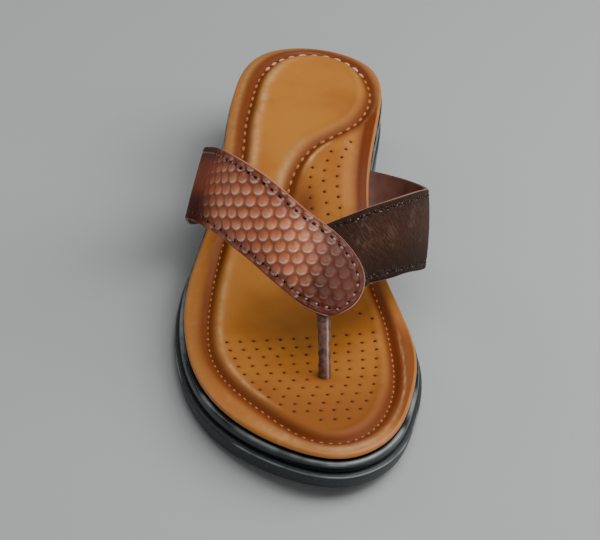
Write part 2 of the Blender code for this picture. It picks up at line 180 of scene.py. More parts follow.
TOE_POST = (
    # x,   y,      z,    width, thickness
    (1.2, -158.4, 42.4, 6.0, 1.5),
    (1.6, -161.8, 39.4, 5.7, 2.4),
    (2.1, -165.4, 35.0, 5.2, 3.7),
    (2.7, -169.2, 28.6, 4.9, 4.0),
    (3.3, -172.2, 22.4, 5.1, 4.1),
    (3.6, -173.3, 17.8, 5.4, 4.1),
    (3.6, -173.4, 14.8, 5.2, 3.9),
)

# Sewn channel: from under the inner strap round the toe and the heel, then across
# the arch to where it runs out under the outer strap.
SEAM = (
    (24.8, -93.7), (28.1, -114.5), (30.5, -126.1), (32.1, -143.6), (32.8, -162.0),
    (31.2, -181.6), (28.1, -193.7), (23.5, -204.2), (17.2, -212.4), (8.3, -217.8),
    (-0.5, -217.9), (-9.0, -213.4), (-21.7, -200.8), (-34.5, -183.2),
    (-41.8, -165.0), (-43.7, -149.4), (-43.2, -132.5), (-40.7, -109.6),
    (-37.6, -91.5), (-33.3, -67.4), (-29.2, -38.1), (-27.4, -15.7), (-25.3, -3.3),
    (-22.6, 11.7), (-17.2, 26.2), (-9.4, 36.0), (1.9, 40.9), (12.2, 40.4),
    (22.0, 33.5), (28.0, 20.1), (29.2, 9.7), (27.6, -0.3), (23.8, -9.5),
    (18.5, -17.0), (9.9, -24.5), (2.8, -31.1), (-2.7, -39.4), (-6.7, -49.1),
    (-9.3, -60.1), (-10.3, -72.2),
)

# Rows of small holes at the forefoot, from the outer to the inner end, and the
# columns of holes at the arch.
HOLE_ROWS = (
    # outer end x, y,   inner end x, y,   holes
    (-36.1, -153.7, 25.4, -140.4, 12),
    (-34.7, -159.1, 25.9, -146.5, 12),
    (-32.9, -164.5, 26.2, -152.2, 11),
    (-31.5, -170.2, 25.8, -158.6, 11),
    (-29.2, -175.7, 25.2, -164.8, 11),
    (-26.1, -181.1, 24.5, -170.9, 10),
    (-23.2, -186.3, 23.6, -177.2, 9),
    (-19.8, -191.4, 22.1, -183.6, 8),
    (-15.2, -196.2, 19.8, -189.8, 7),
    (-9.9, -200.6, 17.0, -195.9, 6),
    (0.6, -205.3, 12.0, -203.2, 3),
)
HOLE_COLUMNS = (
    ((18.9, -27.8), (12.7, -46.4), (12.6, -65.2), (14.2, -90.2), (12.2, -110.0),
     (15.4, -122.3), (25.5, -131.0)),
    ((9.9, -35.5), (6.2, -50.9), (7.3, -67.2), (8.6, -79.0)),
    ((1.4, -46.2), (0.0, -57.9), (1.8, -75.5)),
)
HOLE_PITCH = 6.1


# ---- looks of the footbed -----------------------------------------------------
# A ramp is a measure, and its values where a region starts and where it is full.
INSIDE = ("inner", -1.0, 1.0)
BEYOND = ("inner", 0.6, -0.6)
CREASE_REGION = (("y", -118.0, -104.0), ("y", -2.0, -14.0), ("x", 10.0, 16.0))

# Painted sheen and highlight lines: outside the seam at the inner side of the toe and of
# the heel, and on the rim at the outer side of the heel and round the toe.
SHEEN_BANDS = (
    # measured from, middle, half width, share, ramps
    ("seam", 4.4, 0.38, 1.5,
     (BEYOND, ("x", 16.0, 24.0), ("y", -132.0, -142.0), ("y", -212.0, -204.0))),
    ("seam", 2.8, 0.55, 1.0, (BEYOND, ("x", 8.0, 16.0), ("y", -28.0, -14.0))),
    ("edge", 3.3, 0.7, 0.8, (("x", -6.0, -16.0), ("y", -80.0, -60.0), ("y", 38.0, 24.0))),
    ("edge", 3.6, 2.2, 0.9, (("y", -202.0, -216.0),)),
)

# Where it is burnished darker: the inner side of the arch, the rim at the inner side
# of the forefoot, and the rim at the outer side of the heel.
DARK_AREAS = (
    # share, only on the rim, ramps
    (1.0, False,
     (("edge", 10.0, 3.0), ("x", 12.0, 20.0), ("y", -112.0, -80.0), ("y", 12.0, -8.0))),
    (0.75, True, (("x", 26.0, 36.0), ("y", -118.0, -145.0))),
    (0.55, True, (("edge", 4.0, 6.5), ("x", 6.0, -10.0), ("y", -80.0, -60.0))),
)


# ---- curves -----------------------------------------------------------------
def natural_spline(knots: Points, values: Points, at: Points) -> Points:
    """Natural cubic spline.

    Args:
        knots: increasing places of the values.
        values: one value or row of values at each knot.
        at: places to evaluate.

    Returns:
        The spline's values at those places.
    """
    knots, values, at = (np.asarray(a, float) for a in (knots, values, at))
    gap = np.diff(knots)
    slope = np.diff(values, axis=0) / gap.reshape((-1,) + (1,) * (values.ndim - 1))
    count = len(knots)
    system = np.eye(count)
    right = np.zeros_like(values)
    for i in range(1, count - 1):
        system[i, i - 1:i + 2] = gap[i - 1], 2 * (gap[i - 1] + gap[i]), gap[i]
        right[i] = 6 * (slope[i] - slope[i - 1])
    bend = np.linalg.solve(system, right.reshape(count, -1)).reshape(values.shape)
    k = np.clip(np.searchsorted(knots, at, side="right") - 1, 0, count - 2)
    shape = (-1,) + (1,) * (values.ndim - 1)
    h, a = gap[k].reshape(shape), (at - knots[k]).reshape(shape)
    b = h - a
    return (bend[k] * b ** 3 / (6 * h) + bend[k + 1] * a ** 3 / (6 * h)
            + (values[k] / h - bend[k] * h / 6) * b
            + (values[k + 1] / h - bend[k + 1] * h / 6) * a)


def level_curve(places: Points, heights: Points, at: Points) -> Points:
    """Curve that never overshoots, so flats stay flat.

    Args:
        places: increasing places of the heights.
        heights: height at each place.
        at: places to evaluate.

    Returns:
        Heights at those places.
    """
    places, heights = np.asarray(places, float), np.asarray(heights, float)
    gap = np.diff(places)
    slope = np.diff(heights) / gap
    lean = np.zeros(len(places))
    for i in range(1, len(places) - 1):
        if slope[i - 1] * slope[i] > 0:
            before, after = 2 * gap[i] + gap[i - 1], gap[i] + 2 * gap[i - 1]
            lean[i] = (before + after) / (before / slope[i - 1] + after / slope[i])
    at = np.clip(np.asarray(at, float), places[0], places[-1])
    k = np.clip(np.searchsorted(places, at, side="right") - 1, 0, len(places) - 2)
    h = gap[k]
    t = (at - places[k]) / h
    return (heights[k] * (1 + 2 * t) * (1 - t) ** 2 + h * lean[k] * t * (1 - t) ** 2
            + heights[k + 1] * t * t * (3 - 2 * t) - h * lean[k + 1] * t * t * (1 - t))


def chord_lengths(points: Points) -> Points:
    """Distance along the points, from the first one."""
    steps = np.linalg.norm(np.diff(points, axis=0), axis=1)
    return np.concatenate(([0.0], np.cumsum(steps)))


def unit(vectors: Points) -> Points:
    """The vectors at length 1."""
    return vectors / np.linalg.norm(vectors, axis=-1, keepdims=True)


def straight(at: Points, places: Points, rows: Points) -> Points:
    """Rows of values at new places, on straight lines between the given rows."""
    return np.stack([np.interp(at, places, column) for column in rows.T], axis=-1)


def part_way(a: Points, b: Points, share: Points) -> Points:
    """From a to b by a share of the way."""
    return a + (b - a) * share


def spaced(points: Points, pitch: float) -> Points:
    """Points at an even pitch along the smooth curve through the given ones.

    Args:
        points: places that the curve passes.
        pitch: wanted distance between two of the new points.

    Returns:
        The new points, ends included.
    """
    points = np.asarray(points, float)
    knots = chord_lengths(points)
    fine = natural_spline(knots, points, np.linspace(0.0, knots[-1], SAMPLES))
    run = chord_lengths(fine)
    at = np.linspace(0.0, run[-1], max(2, round(run[-1] / pitch) + 1))
    return straight(at, run, fine)


def smooth(low: float, high: float, value: Points) -> Points:
    """0 below low, 1 above high, and an even blend between them."""
    t = np.clip((np.asarray(value, float) - low) / (high - low), 0.0, 1.0)
    return t * t * (3 - 2 * t)


def bell(distance: Points, half_width: float) -> Points:
    """1 at no distance, falling to 0 over a few half widths."""
    return np.exp(-(np.asarray(distance) / half_width) ** 2)


def region(places: dict[str, Points], *ramps: tuple[str, float, float]) -> Points:
    """Where something shows, from 0 to 1.

    Args:
        places: named measures of the points.
        ramps: a measure, and its values where the region starts and where it is full.

    Returns:
        The product of the ramps.
    """
    share = 1.0
    for name, start, full in ramps:
        share = share * smooth(start, full, places[name])
    return share


def nearest(places: Points, line: Points) -> tuple[Points, Points]:
    """Nearest point of a line of points.

    Args:
        places: plan positions to measure from.
        line: plan positions to measure to.

    Returns:
        The distances, and the index of the nearest point of the line.
    """
    chunk = SAMPLES
    far, index = np.empty(len(places)), np.empty(len(places), int)
    for start in range(0, len(places), chunk):
        part = places[start:start + chunk]
        square = ((part[:, None, 0] - line[None, :, 0]) ** 2
                  + (part[:, None, 1] - line[None, :, 1]) ** 2)
        index[start:start + chunk] = square.argmin(axis=1)
        far[start:start + chunk] = np.sqrt(square.min(axis=1))
    return far, index


class Edge:
    """The footbed's edge seen from above, with its outward normals."""

    WRAP = 4
    STEPS = 3000
    STATIONS = 4001

    def __init__(self) -> None:
        """Sample the closed curve finely and split it into the two sides."""
        wrap = self.WRAP
        points = np.array(FOOTBED_EDGE[-wrap:] + FOOTBED_EDGE + FOOTBED_EDGE[:wrap + 1])
        knots = chord_lengths(points)
        at = np.linspace(knots[wrap], knots[-wrap - 1], self.STEPS + 1)[:-1]
        line = natural_spline(knots, points, at)
        line = np.roll(line, -int(line[:, 1].argmax()), axis=0)
        along = unit(np.roll(line, -1, axis=0) - np.roll(line, 1, axis=0))
        normal = np.stack((-along[:, 1], along[:, 0]), axis=1)
        toe = int(line[:, 1].argmin())
        self.line = line
        self.heel_y, self.toe_y = line[0, 1], line[toe, 1]
        self.sides = {Side.INNER: (line[:toe + 1], normal[:toe + 1]),
                      Side.OUTER: (line[toe:][::-1], normal[toe:][::-1])}

    def at(self, side: Side, y: Points, outset: float = 0.0) -> Points:
        """Points of one side.

        Args:
            side: side of the foot.
            y: where along the shoe.
            outset: distance outwards from the edge.

        Returns:
            Plan positions.
        """
        line, normal = (part[::-1] for part in self.sides[side])
        point, out = (straight(y, line[:, 1], part) for part in (line, normal))
        return point + unit(out) * outset

    def stations(self, ribs: int) -> Points:
        """Places along the shoe, even along the edge's own length."""
        y = np.linspace(self.heel_y, self.toe_y, self.STATIONS)
        run = sum(chord_lengths(self.at(side, y)) for side in Side) / len(Side)
        return np.interp(np.linspace(0.0, run[-1], ribs + 1), run, y)

    def ring(self, outset: float, ribs: int) -> Points:
        """Points round the sole: heel, inner side, toe, outer side.

        Args:
            outset: distance outwards from the edge, less at the heel.
            ribs: steps along each side.

        Returns:
            Plan positions, twice as many as ribs.
        """
        y = self.stations(ribs)
        if outset > 0:
            behind = smooth(*HEEL_FLARE_Y, y)
            outset = (outset * (1 - (1 - HEEL_FLARE) * behind))[:, None]
        return np.concatenate((self.at(Side.INNER, y, outset),
                               self.at(Side.OUTER, y, outset)[-2:0:-1]))


EDGE = Edge()
(SIDE_Y, FOOTBED_INNER_Z, FOOTBED_OUTER_Z, SPLIT_Z,
 TREAD_INNER_Z, TREAD_OUTER_Z) = np.array(SIDE_VIEW).T
DATUMS = {
    # heights at the inner and at the outer side, and how far below them
    TREAD: (TREAD_INNER_Z, TREAD_OUTER_Z, 0.0),
    SPLIT: (SPLIT_Z, SPLIT_Z, 0.0),
    SHOULDER: (FOOTBED_INNER_Z, FOOTBED_OUTER_Z, RECESS_HEIGHT),
    FOOTBED: (FOOTBED_INNER_Z, FOOTBED_OUTER_Z, 0.0),
}


def height(datum: Datum, x: Points, y: Points) -> Points:
    """Height of one of the sole's surfaces.

    Args:
        datum: the surface.
        x: across the shoe.
        y: along the shoe.

    Returns:
        Heights above the floor.
    """
    outer_x, inner_x = SIDE_VIEW_X
    share = np.clip((np.asarray(x) - outer_x) / (inner_x - outer_x), 0.0, 1.0)
    inner_z, outer_z, drop = DATUMS[datum]
    inner = level_curve(SIDE_Y, inner_z, y)
    outer = level_curve(SIDE_Y, outer_z, y)
    return part_way(outer, inner, share) - drop


# ---- meshes -----------------------------------------------------------------
@dataclass
class Shape:
    """Points and faces of a piece, with its named values at the points."""

    points: Points
    faces: list[tuple[int, ...]]
    values: dict[str, Points] = field(default_factory=dict)
    flat: Points | None = None

    def piece(self, name: str, material: Material, slot: Slot,
              node: str | None = None) -> None:
        """Make the Blender object, smooth and at the origin, and place it.

        Args:
            name: name of the piece.
            material: its finish.
            slot: record slot that its finish comes from; not used.
            node: CAD node that it stands for, if any.
        """
        mesh = bpy.data.meshes.new(name)
        mesh.from_pydata((self.points * MM).tolist(), [], self.faces)
        for key, value in self.values.items():
            layer = mesh.attributes.new(key, "FLOAT", "POINT")
            layer.data.foreach_set("value", np.asarray(value, np.float32))
        if self.flat is not None:
            corner = np.empty(len(mesh.loops), np.int32)
            mesh.loops.foreach_get("vertex_index", corner)
            layer = mesh.uv_layers.new(name="flat")
            layer.data.foreach_set("uv", self.flat[corner].astype(np.float32).ravel())
        mesh.materials.append(material)
        mesh.shade_smooth()
        face_outwards(mesh)
        place(show(name, mesh), node)


def show(name: str, data: bpy.types.ID) -> Piece:
    """Object with this data, in the scene."""
    made = bpy.data.objects.new(name, data)
    bpy.context.scene.collection.objects.link(made)
    return made


def face_outwards(mesh: bpy.types.Mesh) -> None:
    """Turn the faces of a closed mesh outwards, by the sign of its volume.

    Args:
        mesh: the mesh, changed in place.
    """
    mesh.calc_loop_triangles()
    count = len(mesh.loop_triangles)
    corners = np.empty(count * 3, np.int32)
    mesh.loop_triangles.foreach_get("vertices", corners)
    points = np.empty(len(mesh.vertices) * 3)
    mesh.vertices.foreach_get("co", points)
    a, b, c = points.reshape(-1, 3)[corners.reshape(-1, 3)].transpose(1, 0, 2)
    if (a * np.cross(b, c)).sum() < 0:
        mesh.flip_normals()


def ring_faces(rings: int, count: int) -> list[tuple[int, ...]]:
    """Faces between consecutive closed rings of equal length.

    Args:
        rings: number of rings.
        count: points in each ring.

    Returns:
        Four-sided faces, as indices of points.
    """
    faces = []
    for r in range(rings - 1):
        low, high = r * count, (r + 1) * count
        for i in range(count):
            j = (i + 1) % count
            faces.append((low + i, low + j, high + j, high + i))
    return faces


def place(made: Piece, node: str | None = None) -> None:
    """Hand a piece to the frame.

    Args:
        made: the finished piece.
        node: CAD node that it stands for, if any.
    """
    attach(made, Body.ROOT.value)
    if node:
        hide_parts(node)
    LOG.info("%s: %d faces", made.name, len(made.data.polygons))


# ---- nodes --------------------------------------------------------------------
class Nodes:
    """A node tree that is filled one call at a time."""

    def __init__(self, tree: bpy.types.NodeTree) -> None:
        """Keep the tree."""
        self.tree = tree

    def node(self, kind: str, settings: dict | None = None,
             inputs: dict | None = None) -> bpy.types.Node:
        """Any node.

        Args:
            kind: its type.
            settings: properties, set first.
            inputs: values or links of its sockets, by name or index.

        Returns:
            The new node.
        """
        made = self.tree.nodes.new(kind)
        for name, value in (settings or {}).items():
            setattr(made, name, value)
        for key, value in (inputs or {}).items():
            self.feed(made.inputs[key], value)
        return made

    def out(self, kind: str, settings: dict | None = None, inputs: dict | None = None,
            output: int | str = 0) -> Socket:
        """One output of a new node."""
        return self.node(kind, settings, inputs).outputs[output]

    def signal(self, kind: str, settings: dict | None = None,
               inputs: dict | None = None, output: int | str = 0) -> "Signal":
        """The same output, as a number to reckon with."""
        return Signal(self, self.out(kind, settings, inputs, output))

    def feed(self, socket: Socket, value: object) -> None:
        """Link a signal or socket, or set a plain value.

        Args:
            socket: input to feed.
            value: what it gets.
        """
        if isinstance(value, Signal):
            value = value.socket
        if isinstance(value, Socket):
            self.tree.links.new(value, socket)
        elif isinstance(value, tuple) and len(value) == 3 and socket.type == "RGBA":
            socket.default_value = (*value, 1.0)
        else:
            socket.default_value = value


class Signal:
    """A number on a socket, with arithmetic that adds Math nodes."""

    def __init__(self, graph: Nodes, socket: Socket) -> None:
        """Wrap one output socket."""
        self.graph = graph
        self.socket = socket

    def _math(self, operation: str, a: object, b: object) -> "Signal":
        """Math node on two values or signals."""
        return self.graph.signal("ShaderNodeMath", {"operation": operation}, {0: a, 1: b})

    def __add__(self, other: object) -> "Signal":
        """Sum."""
        return self._math("ADD", self, other)

    def __sub__(self, other: object) -> "Signal":
        """Difference."""
        return self._math("SUBTRACT", self, other)

    def __mul__(self, other: object) -> "Signal":
        """Product."""
        return self._math("MULTIPLY", self, other)

    def __rsub__(self, other: object) -> "Signal":
        """Difference, the other way round."""
        return self._math("SUBTRACT", other, self)

    __radd__ = __add__
    __rmul__ = __mul__

    def span(self, low: float, high: float) -> "Signal":
        """0 below low, 1 above high, smooth between."""
        return self.graph.signal(
            "ShaderNodeMapRange", {"interpolation_type": "SMOOTHSTEP"},
            {"Value": self, "From Min": low, "From Max": high}, "Result")


class Graph(Nodes):
    """A material's nodes, with its Principled shader."""

    def __init__(self, name: str) -> None:
        """Start a material."""
        self.material = bpy.data.materials.new(name)
        self.material.use_nodes = True
        super().__init__(self.material.node_tree)
        self.shader = self.tree.nodes["Principled BSDF"]

    def value(self, name: str) -> Signal:
        """A named value of the mesh."""
        return self.signal("ShaderNodeAttribute", {"attribute_name": name}, output="Fac")

    def flat(self) -> Socket:
        """The leather's own flat coordinates, in millimetres."""
        return self.out("ShaderNodeUVMap", {"uv_map": "flat"})

    def _texture(self, kind: str, size: float, where: Socket | None,
                 inputs: dict) -> Signal:
        """Texture with features of a size in millimetres.

        Args:
            kind: type of its node.
            size: how large the features are.
            where: coordinates in millimetres; without them, the object's in metres.
            inputs: its other inputs.

        Returns:
            The texture's first output.
        """
        scale = 1.0 / size if where else 1.0 / (size * MM)
        where = where or self.out("ShaderNodeTexCoord", output="Object")
        return self.signal(kind, None, {"Vector": where, "Scale": scale, **inputs})

    def noise(self, grain: float, detail: float = 3.0,
              where: Socket | None = None) -> Signal:
        """Noise whose features are about grain millimetres across."""
        return self._texture("ShaderNodeTexNoise", grain, where, {"Detail": detail})

    def cells(self, size: float, where: Socket | None = None) -> Signal:
        """Distance within random cells of about size millimetres."""
        return self._texture("ShaderNodeTexVoronoi", size, where, {})

    def mix(self, share: object, a: object, b: object) -> Socket:
        """Colour between a and b."""
        return self.out("ShaderNodeMix", {"data_type": "RGBA"}, {0: share, 6: a, 7: b}, 2)

    def layers(self, base: object, *coats: tuple[Signal, object]) -> Socket:
        """Colour with coats laid over it, each one by its share."""
        for share, colour in coats:
            base = self.mix(share, base, colour)
        return base

    def bump(self, relief: Signal, depth: float, strength: float = 1.0) -> None:
        """Fine relief, depth millimetres from low to high."""
        self.feed(self.shader.inputs["Normal"], self.out(
            "ShaderNodeBump", None,
            {"Height": relief, "Distance": depth * MM, "Strength": strength}))

    def finish(self, **sockets: object) -> Material:
        """Set the shader's sockets, named with _ for a space."""
        for name, value in sockets.items():
            self.feed(self.shader.inputs[name.replace("_", " ")], value)
        return self.material


# ---- finishes -----------------------------------------------------------------


@dataclass(frozen=True)
class TanLeather:
    """Waxed tan footbed leather, with painted shade in its channel and at the toe, and
    painted sheen.
    """

    field_colour: Colour = (0.54, 0.205, 0.034)
    deep: Colour = (0.43, 0.140, 0.022)
    toe: Colour = (0.27, 0.082, 0.017)
    rim: Colour = (0.50, 0.185, 0.040)
    channel: Colour = (0.165, 0.030, 0.005)
    painted_sheen: Colour = (0.74, 0.45, 0.21)
    roughness: float = 0.48
    wax: float = 0.32
    relief: float = 0.04

    def material(self) -> Material:
        """Build the finish.

        Returns:
            The material.
        """
        g = Graph("tan_leather")
        cloud, mottle, speck = g.noise(34.0, 4.0), g.noise(5.0, 5.0), g.noise(0.8, 3.0)
        rim, dusk, roll = g.value("rim"), g.value("dusk"), g.value("roll")
        # painted sheen on the crowns and ridges, broken up by mottle and specks
        painted_highlight = (g.value("crown") * (0.22 + 0.34 * mottle.span(0.36, 0.62))
                  * (0.6 + 0.8 * speck))
        colour = g.layers(
            g.mix(cloud.span(0.35, 0.70), self.field_colour, self.deep),
            # painted shade: darker towards the toe, where less light falls
            (g.value("toe") * 0.8, self.toe),
            (rim * 0.85, self.rim),
            # painted highlight streaks on the rim
            (rim * mottle.span(0.5, 0.75) * 0.12, self.painted_sheen),
            (dusk * 0.96, self.channel),
            # painted sheen laid over the crowns and ridges
            (painted_highlight, self.painted_sheen),
            # painted shade in the sewn channel and in the creases
            (g.value("channel") * 0.94, self.channel),
            # painted shade in the hole dimples and round the foot of the post
            (g.value("pit") * 0.6, self.channel))
        g.bump(g.noise(0.9, 4.0) + 0.5 * g.cells(1.3), self.relief, 0.4)
        return g.finish(
            Base_Color=colour, Specular_IOR_Level=0.14, Coat_Roughness=0.22,
            Roughness=self.roughness - 0.18 * roll + 0.10 * (mottle - 0.5),
            Coat_Weight=self.wax * roll * (1 - 0.95 * dusk) + 0.40 * painted_highlight)


@dataclass(frozen=True)
class ScaleLeather:
    """Red-brown leather embossed with round scales, with painted lip highlights and painted
    shade.
    """

    dome: Colour = (1.00, 0.415, 0.215)
    shade: Colour = (0.53, 0.135, 0.060)
    red: Colour = (0.085, 0.010, 0.004)
    glow: Colour = (0.40, 0.074, 0.022)
    faded: Colour = (0.070, 0.015, 0.006)
    mauve: Colour = (0.150, 0.042, 0.024)
    valley: Colour = (0.105, 0.018, 0.010)
    lip: Colour = (1.00, 0.80, 0.70)
    cut: Colour = (0.62, 0.36, 0.26)
    roughness: float = 0.40
    gloss: float = 0.75
    relief: float = 0.05

    def material(self) -> Material:
        """Build the finish.

        Returns:
            The material.
        """
        g = Graph("scale_leather")
        mottle, cloud = g.noise(3.5, 5.0), g.noise(14.0, 3.0)
        root, tip, cut = g.value("root"), g.value("tip"), g.value("cut")
        ahead, middle = g.value("ahead"), g.value("middle")
        # painted light: a glow along the middle of the strap's root
        glow = middle.span(0.45, 1.0) * (0.62 + 0.9 * (cloud - 0.3))
        # painted shade in the valleys between the scales
        valley = ((1 - g.value("scale").span(0.0, 0.40)) * (1 - 0.85 * root)
                  * (0.45 + 0.55 * ahead))
        colour = g.layers(
            # painted light and shade across each dome: shaded at its back, lit at its front
            g.mix(ahead.span(0.10, 0.95), self.shade, self.dome),
            (g.value("tone").span(0.3, 1.0) * 0.45, self.shade),
            # painted shade at the strap's root, with the painted glow along its middle
            (root.span(0.1, 0.9), g.mix(glow, self.red, self.glow)),
            (tip.span(0.1, 0.9) * (0.96 - 0.07 * middle.span(0.6, 1.0)), self.faded),
            (g.value("edge") * 0.6, self.mauve),
            (mottle.span(0.45, 0.8) * 0.35, self.valley),
            # painted shade in the valleys between the scales
            (valley * 0.65, self.valley),
            # painted highlights on the scales' front lips
            (g.value("lip") * (0.30 + 1.4 * mottle) * (1 - 0.75 * tip), self.lip),
            # painted shade in the stitch groove
            (g.value("pit") * 0.8, self.valley),
            (cut * (1 - 0.7 * root), self.cut))
        g.bump(g.noise(0.7, 4.0), self.relief, 0.5)
        shine = (1 - root.span(0.0, 0.6)) * (1 - 0.7 * tip) * (1 - valley)
        return g.finish(
            Base_Color=colour, Specular_IOR_Level=0.11, Coat_Roughness=0.15,
            Roughness=self.roughness + 0.12 * (mottle - 0.5) + 0.28 * root + 0.3 * cut,
            Coat_Weight=self.gloss * shine)


@dataclass(frozen=True)
class GrainLeather:
    """Brown leather with fine slanting creases, painted sheen along its middle and shade at
    its edges.
    """

    high: Colour = (0.078, 0.034, 0.019)
    low: Colour = (0.046, 0.019, 0.011)
    deep: Colour = (0.010, 0.005, 0.004)
    painted_highlight: Colour = (0.42, 0.31, 0.26)
    cut: Colour = (0.42, 0.25, 0.19)
    pebble: float = 0.45
    crease: float = 1.5
    crease_stretch: float = 4.0
    crease_slant: float = 10.0
    roughness: float = 0.60
    relief: float = 0.16

    def material(self) -> Material:
        """Build the finish.

        Returns:
            The material.
        """
        g = Graph("grain_leather")
        flat = g.flat()
        slanting = g.node("ShaderNodeMapping", {"vector_type": "TEXTURE"},
                          {"Vector": flat, "Scale": (self.crease_stretch, 1.0, 1.0),
                           "Rotation": (0.0, 0.0, math.radians(self.crease_slant))})
        pebble = 1 - g.cells(self.pebble, flat)
        fold = g.noise(self.crease, 4.0, slanting.outputs[0]) - 0.5
        crease = 1 - (fold * fold).span(0.0, 0.006)
        mottle, speck = g.noise(9.0, 4.0, flat), g.noise(0.9, 2.0, flat)
        relief = pebble * 0.35 + crease * (0.2 + 0.6 * mottle)
        colour = g.layers(
            g.mix(relief.span(0.15, 0.95), self.low, self.high),
            # painted shade towards the edges, leaving a painted sheen along the middle
            ((1 - g.value("middle")) * 0.85, self.deep),
            # painted highlights on the crease ridges
            (crease * mottle.span(0.50, 0.70) * 0.07, self.painted_highlight),
            # painted shade in the stitch groove
            (g.value("pit") * 0.7, self.deep),
            # painted highlight specks along the seam
            (g.value("seam") * speck.span(0.56, 0.66) * 0.8, self.painted_highlight),
            (g.value("cut"), self.cut))
        g.bump(relief, self.relief, 0.8)
        rough = self.roughness + 0.16 * (mottle - 0.5) + 0.3 * g.value("cut")
        return g.finish(Base_Color=colour, Roughness=rough, Specular_IOR_Level=0.09)


@dataclass(frozen=True)
class PostLeather:
    """Brown leather of the post, with a painted highlight along its seam."""

    dark: Colour = (0.070, 0.026, 0.017)
    mid: Colour = (0.190, 0.085, 0.055)
    painted_highlight: Colour = (0.60, 0.42, 0.33)
    roughness: float = 0.38
    relief: float = 0.25

    def material(self) -> Material:
        """Build the finish.

        Returns:
            The material.
        """
        g = Graph("post_leather")
        streak = g.noise(2.2, 5.0)
        colour = g.layers(g.mix(streak.span(0.35, 0.65), self.dark, self.mid),
                          # painted highlight along the seam
                          (g.value("rub") * (0.35 + 0.7 * streak), self.painted_highlight))
        g.bump(streak, self.relief, 0.6)
        rough = self.roughness + 0.15 * (streak - 0.5)
        return g.finish(Base_Color=colour, Roughness=rough, Coat_Weight=0.2)


@dataclass(frozen=True)
class LiningLeather:
    """Matte leather on the inside of a strap."""

    name: str
    colour: Colour
    shade: Colour
    roughness: float = 0.62
    relief: float = 0.08

    def material(self) -> Material:
        """Build the finish.

        Returns:
            The material.
        """
        g = Graph(self.name)
        nap = g.noise(1.1, 5.0)
        colour = g.mix(g.noise(11.0, 4.0).span(0.35, 0.7), self.colour, self.shade)
        g.bump(nap + 0.4 * g.cells(0.8), self.relief, 0.5)
        return g.finish(Base_Color=colour, Roughness=self.roughness + 0.15 * (nap - 0.5))


@dataclass(frozen=True)
class Rubber:
    """Black moulded rubber with a green-blue cast."""

    name: str
    colour: Colour
    fleck: Colour
    flecks: float
    roughness: float
    relief: float
    edge: Colour = (0.34, 0.38, 0.38)

    def material(self) -> Material:
        """Build the finish.

        Returns:
            The material.
        """
        g = Graph(self.name)
        speck, cloud = g.noise(0.9, 3.0), g.noise(22.0, 3.0)
        colour = g.layers(self.colour,
                          (speck.span(0.56, 0.72) * self.flecks, self.fleck),
                          # painted highlight lines along the rounded edges, on the bright
                          # rings
                          (g.value("line") * cloud.span(0.38, 0.62) * 0.8, self.edge))
        g.bump(speck, self.relief, 0.7)
        rough = self.roughness + 0.16 * (cloud - 0.5) + 0.10 * (speck - 0.5)
        return g.finish(Base_Color=colour, Roughness=rough, Specular_IOR_Level=0.55)


@dataclass(frozen=True)
class Thread:
    """Waxed thread, a pucker of leather, or a dark form of painted shade in the mouth of a
    hole.
    """

    name: str
    colour: Colour
    roughness: float

    def material(self) -> Material:
        """Build the finish.

        Returns:
            The material.
        """
        g = Graph(self.name)
        dark = tuple(c * 0.6 for c in self.colour)
        colour = g.mix(g.noise(0.6, 2.0).span(0.35, 0.7), self.colour, dark)
        return g.finish(Base_Color=colour, Roughness=self.roughness,
                        Specular_IOR_Level=0.12)


@dataclass(frozen=True)
class PlainFloor:
    """Pale floor."""

    colour: Colour = (0.47, 0.485, 0.48)

    def material(self) -> Material:
        """Build the finish."""
        return Graph("floor").finish(Base_Color=self.colour, Roughness=0.7)


# ---- repeats ------------------------------------------------------------------
class Repeat(Enum):
    """What is repeated along a path or at points."""

    STITCH = "stitch"
    HOLE = "hole"


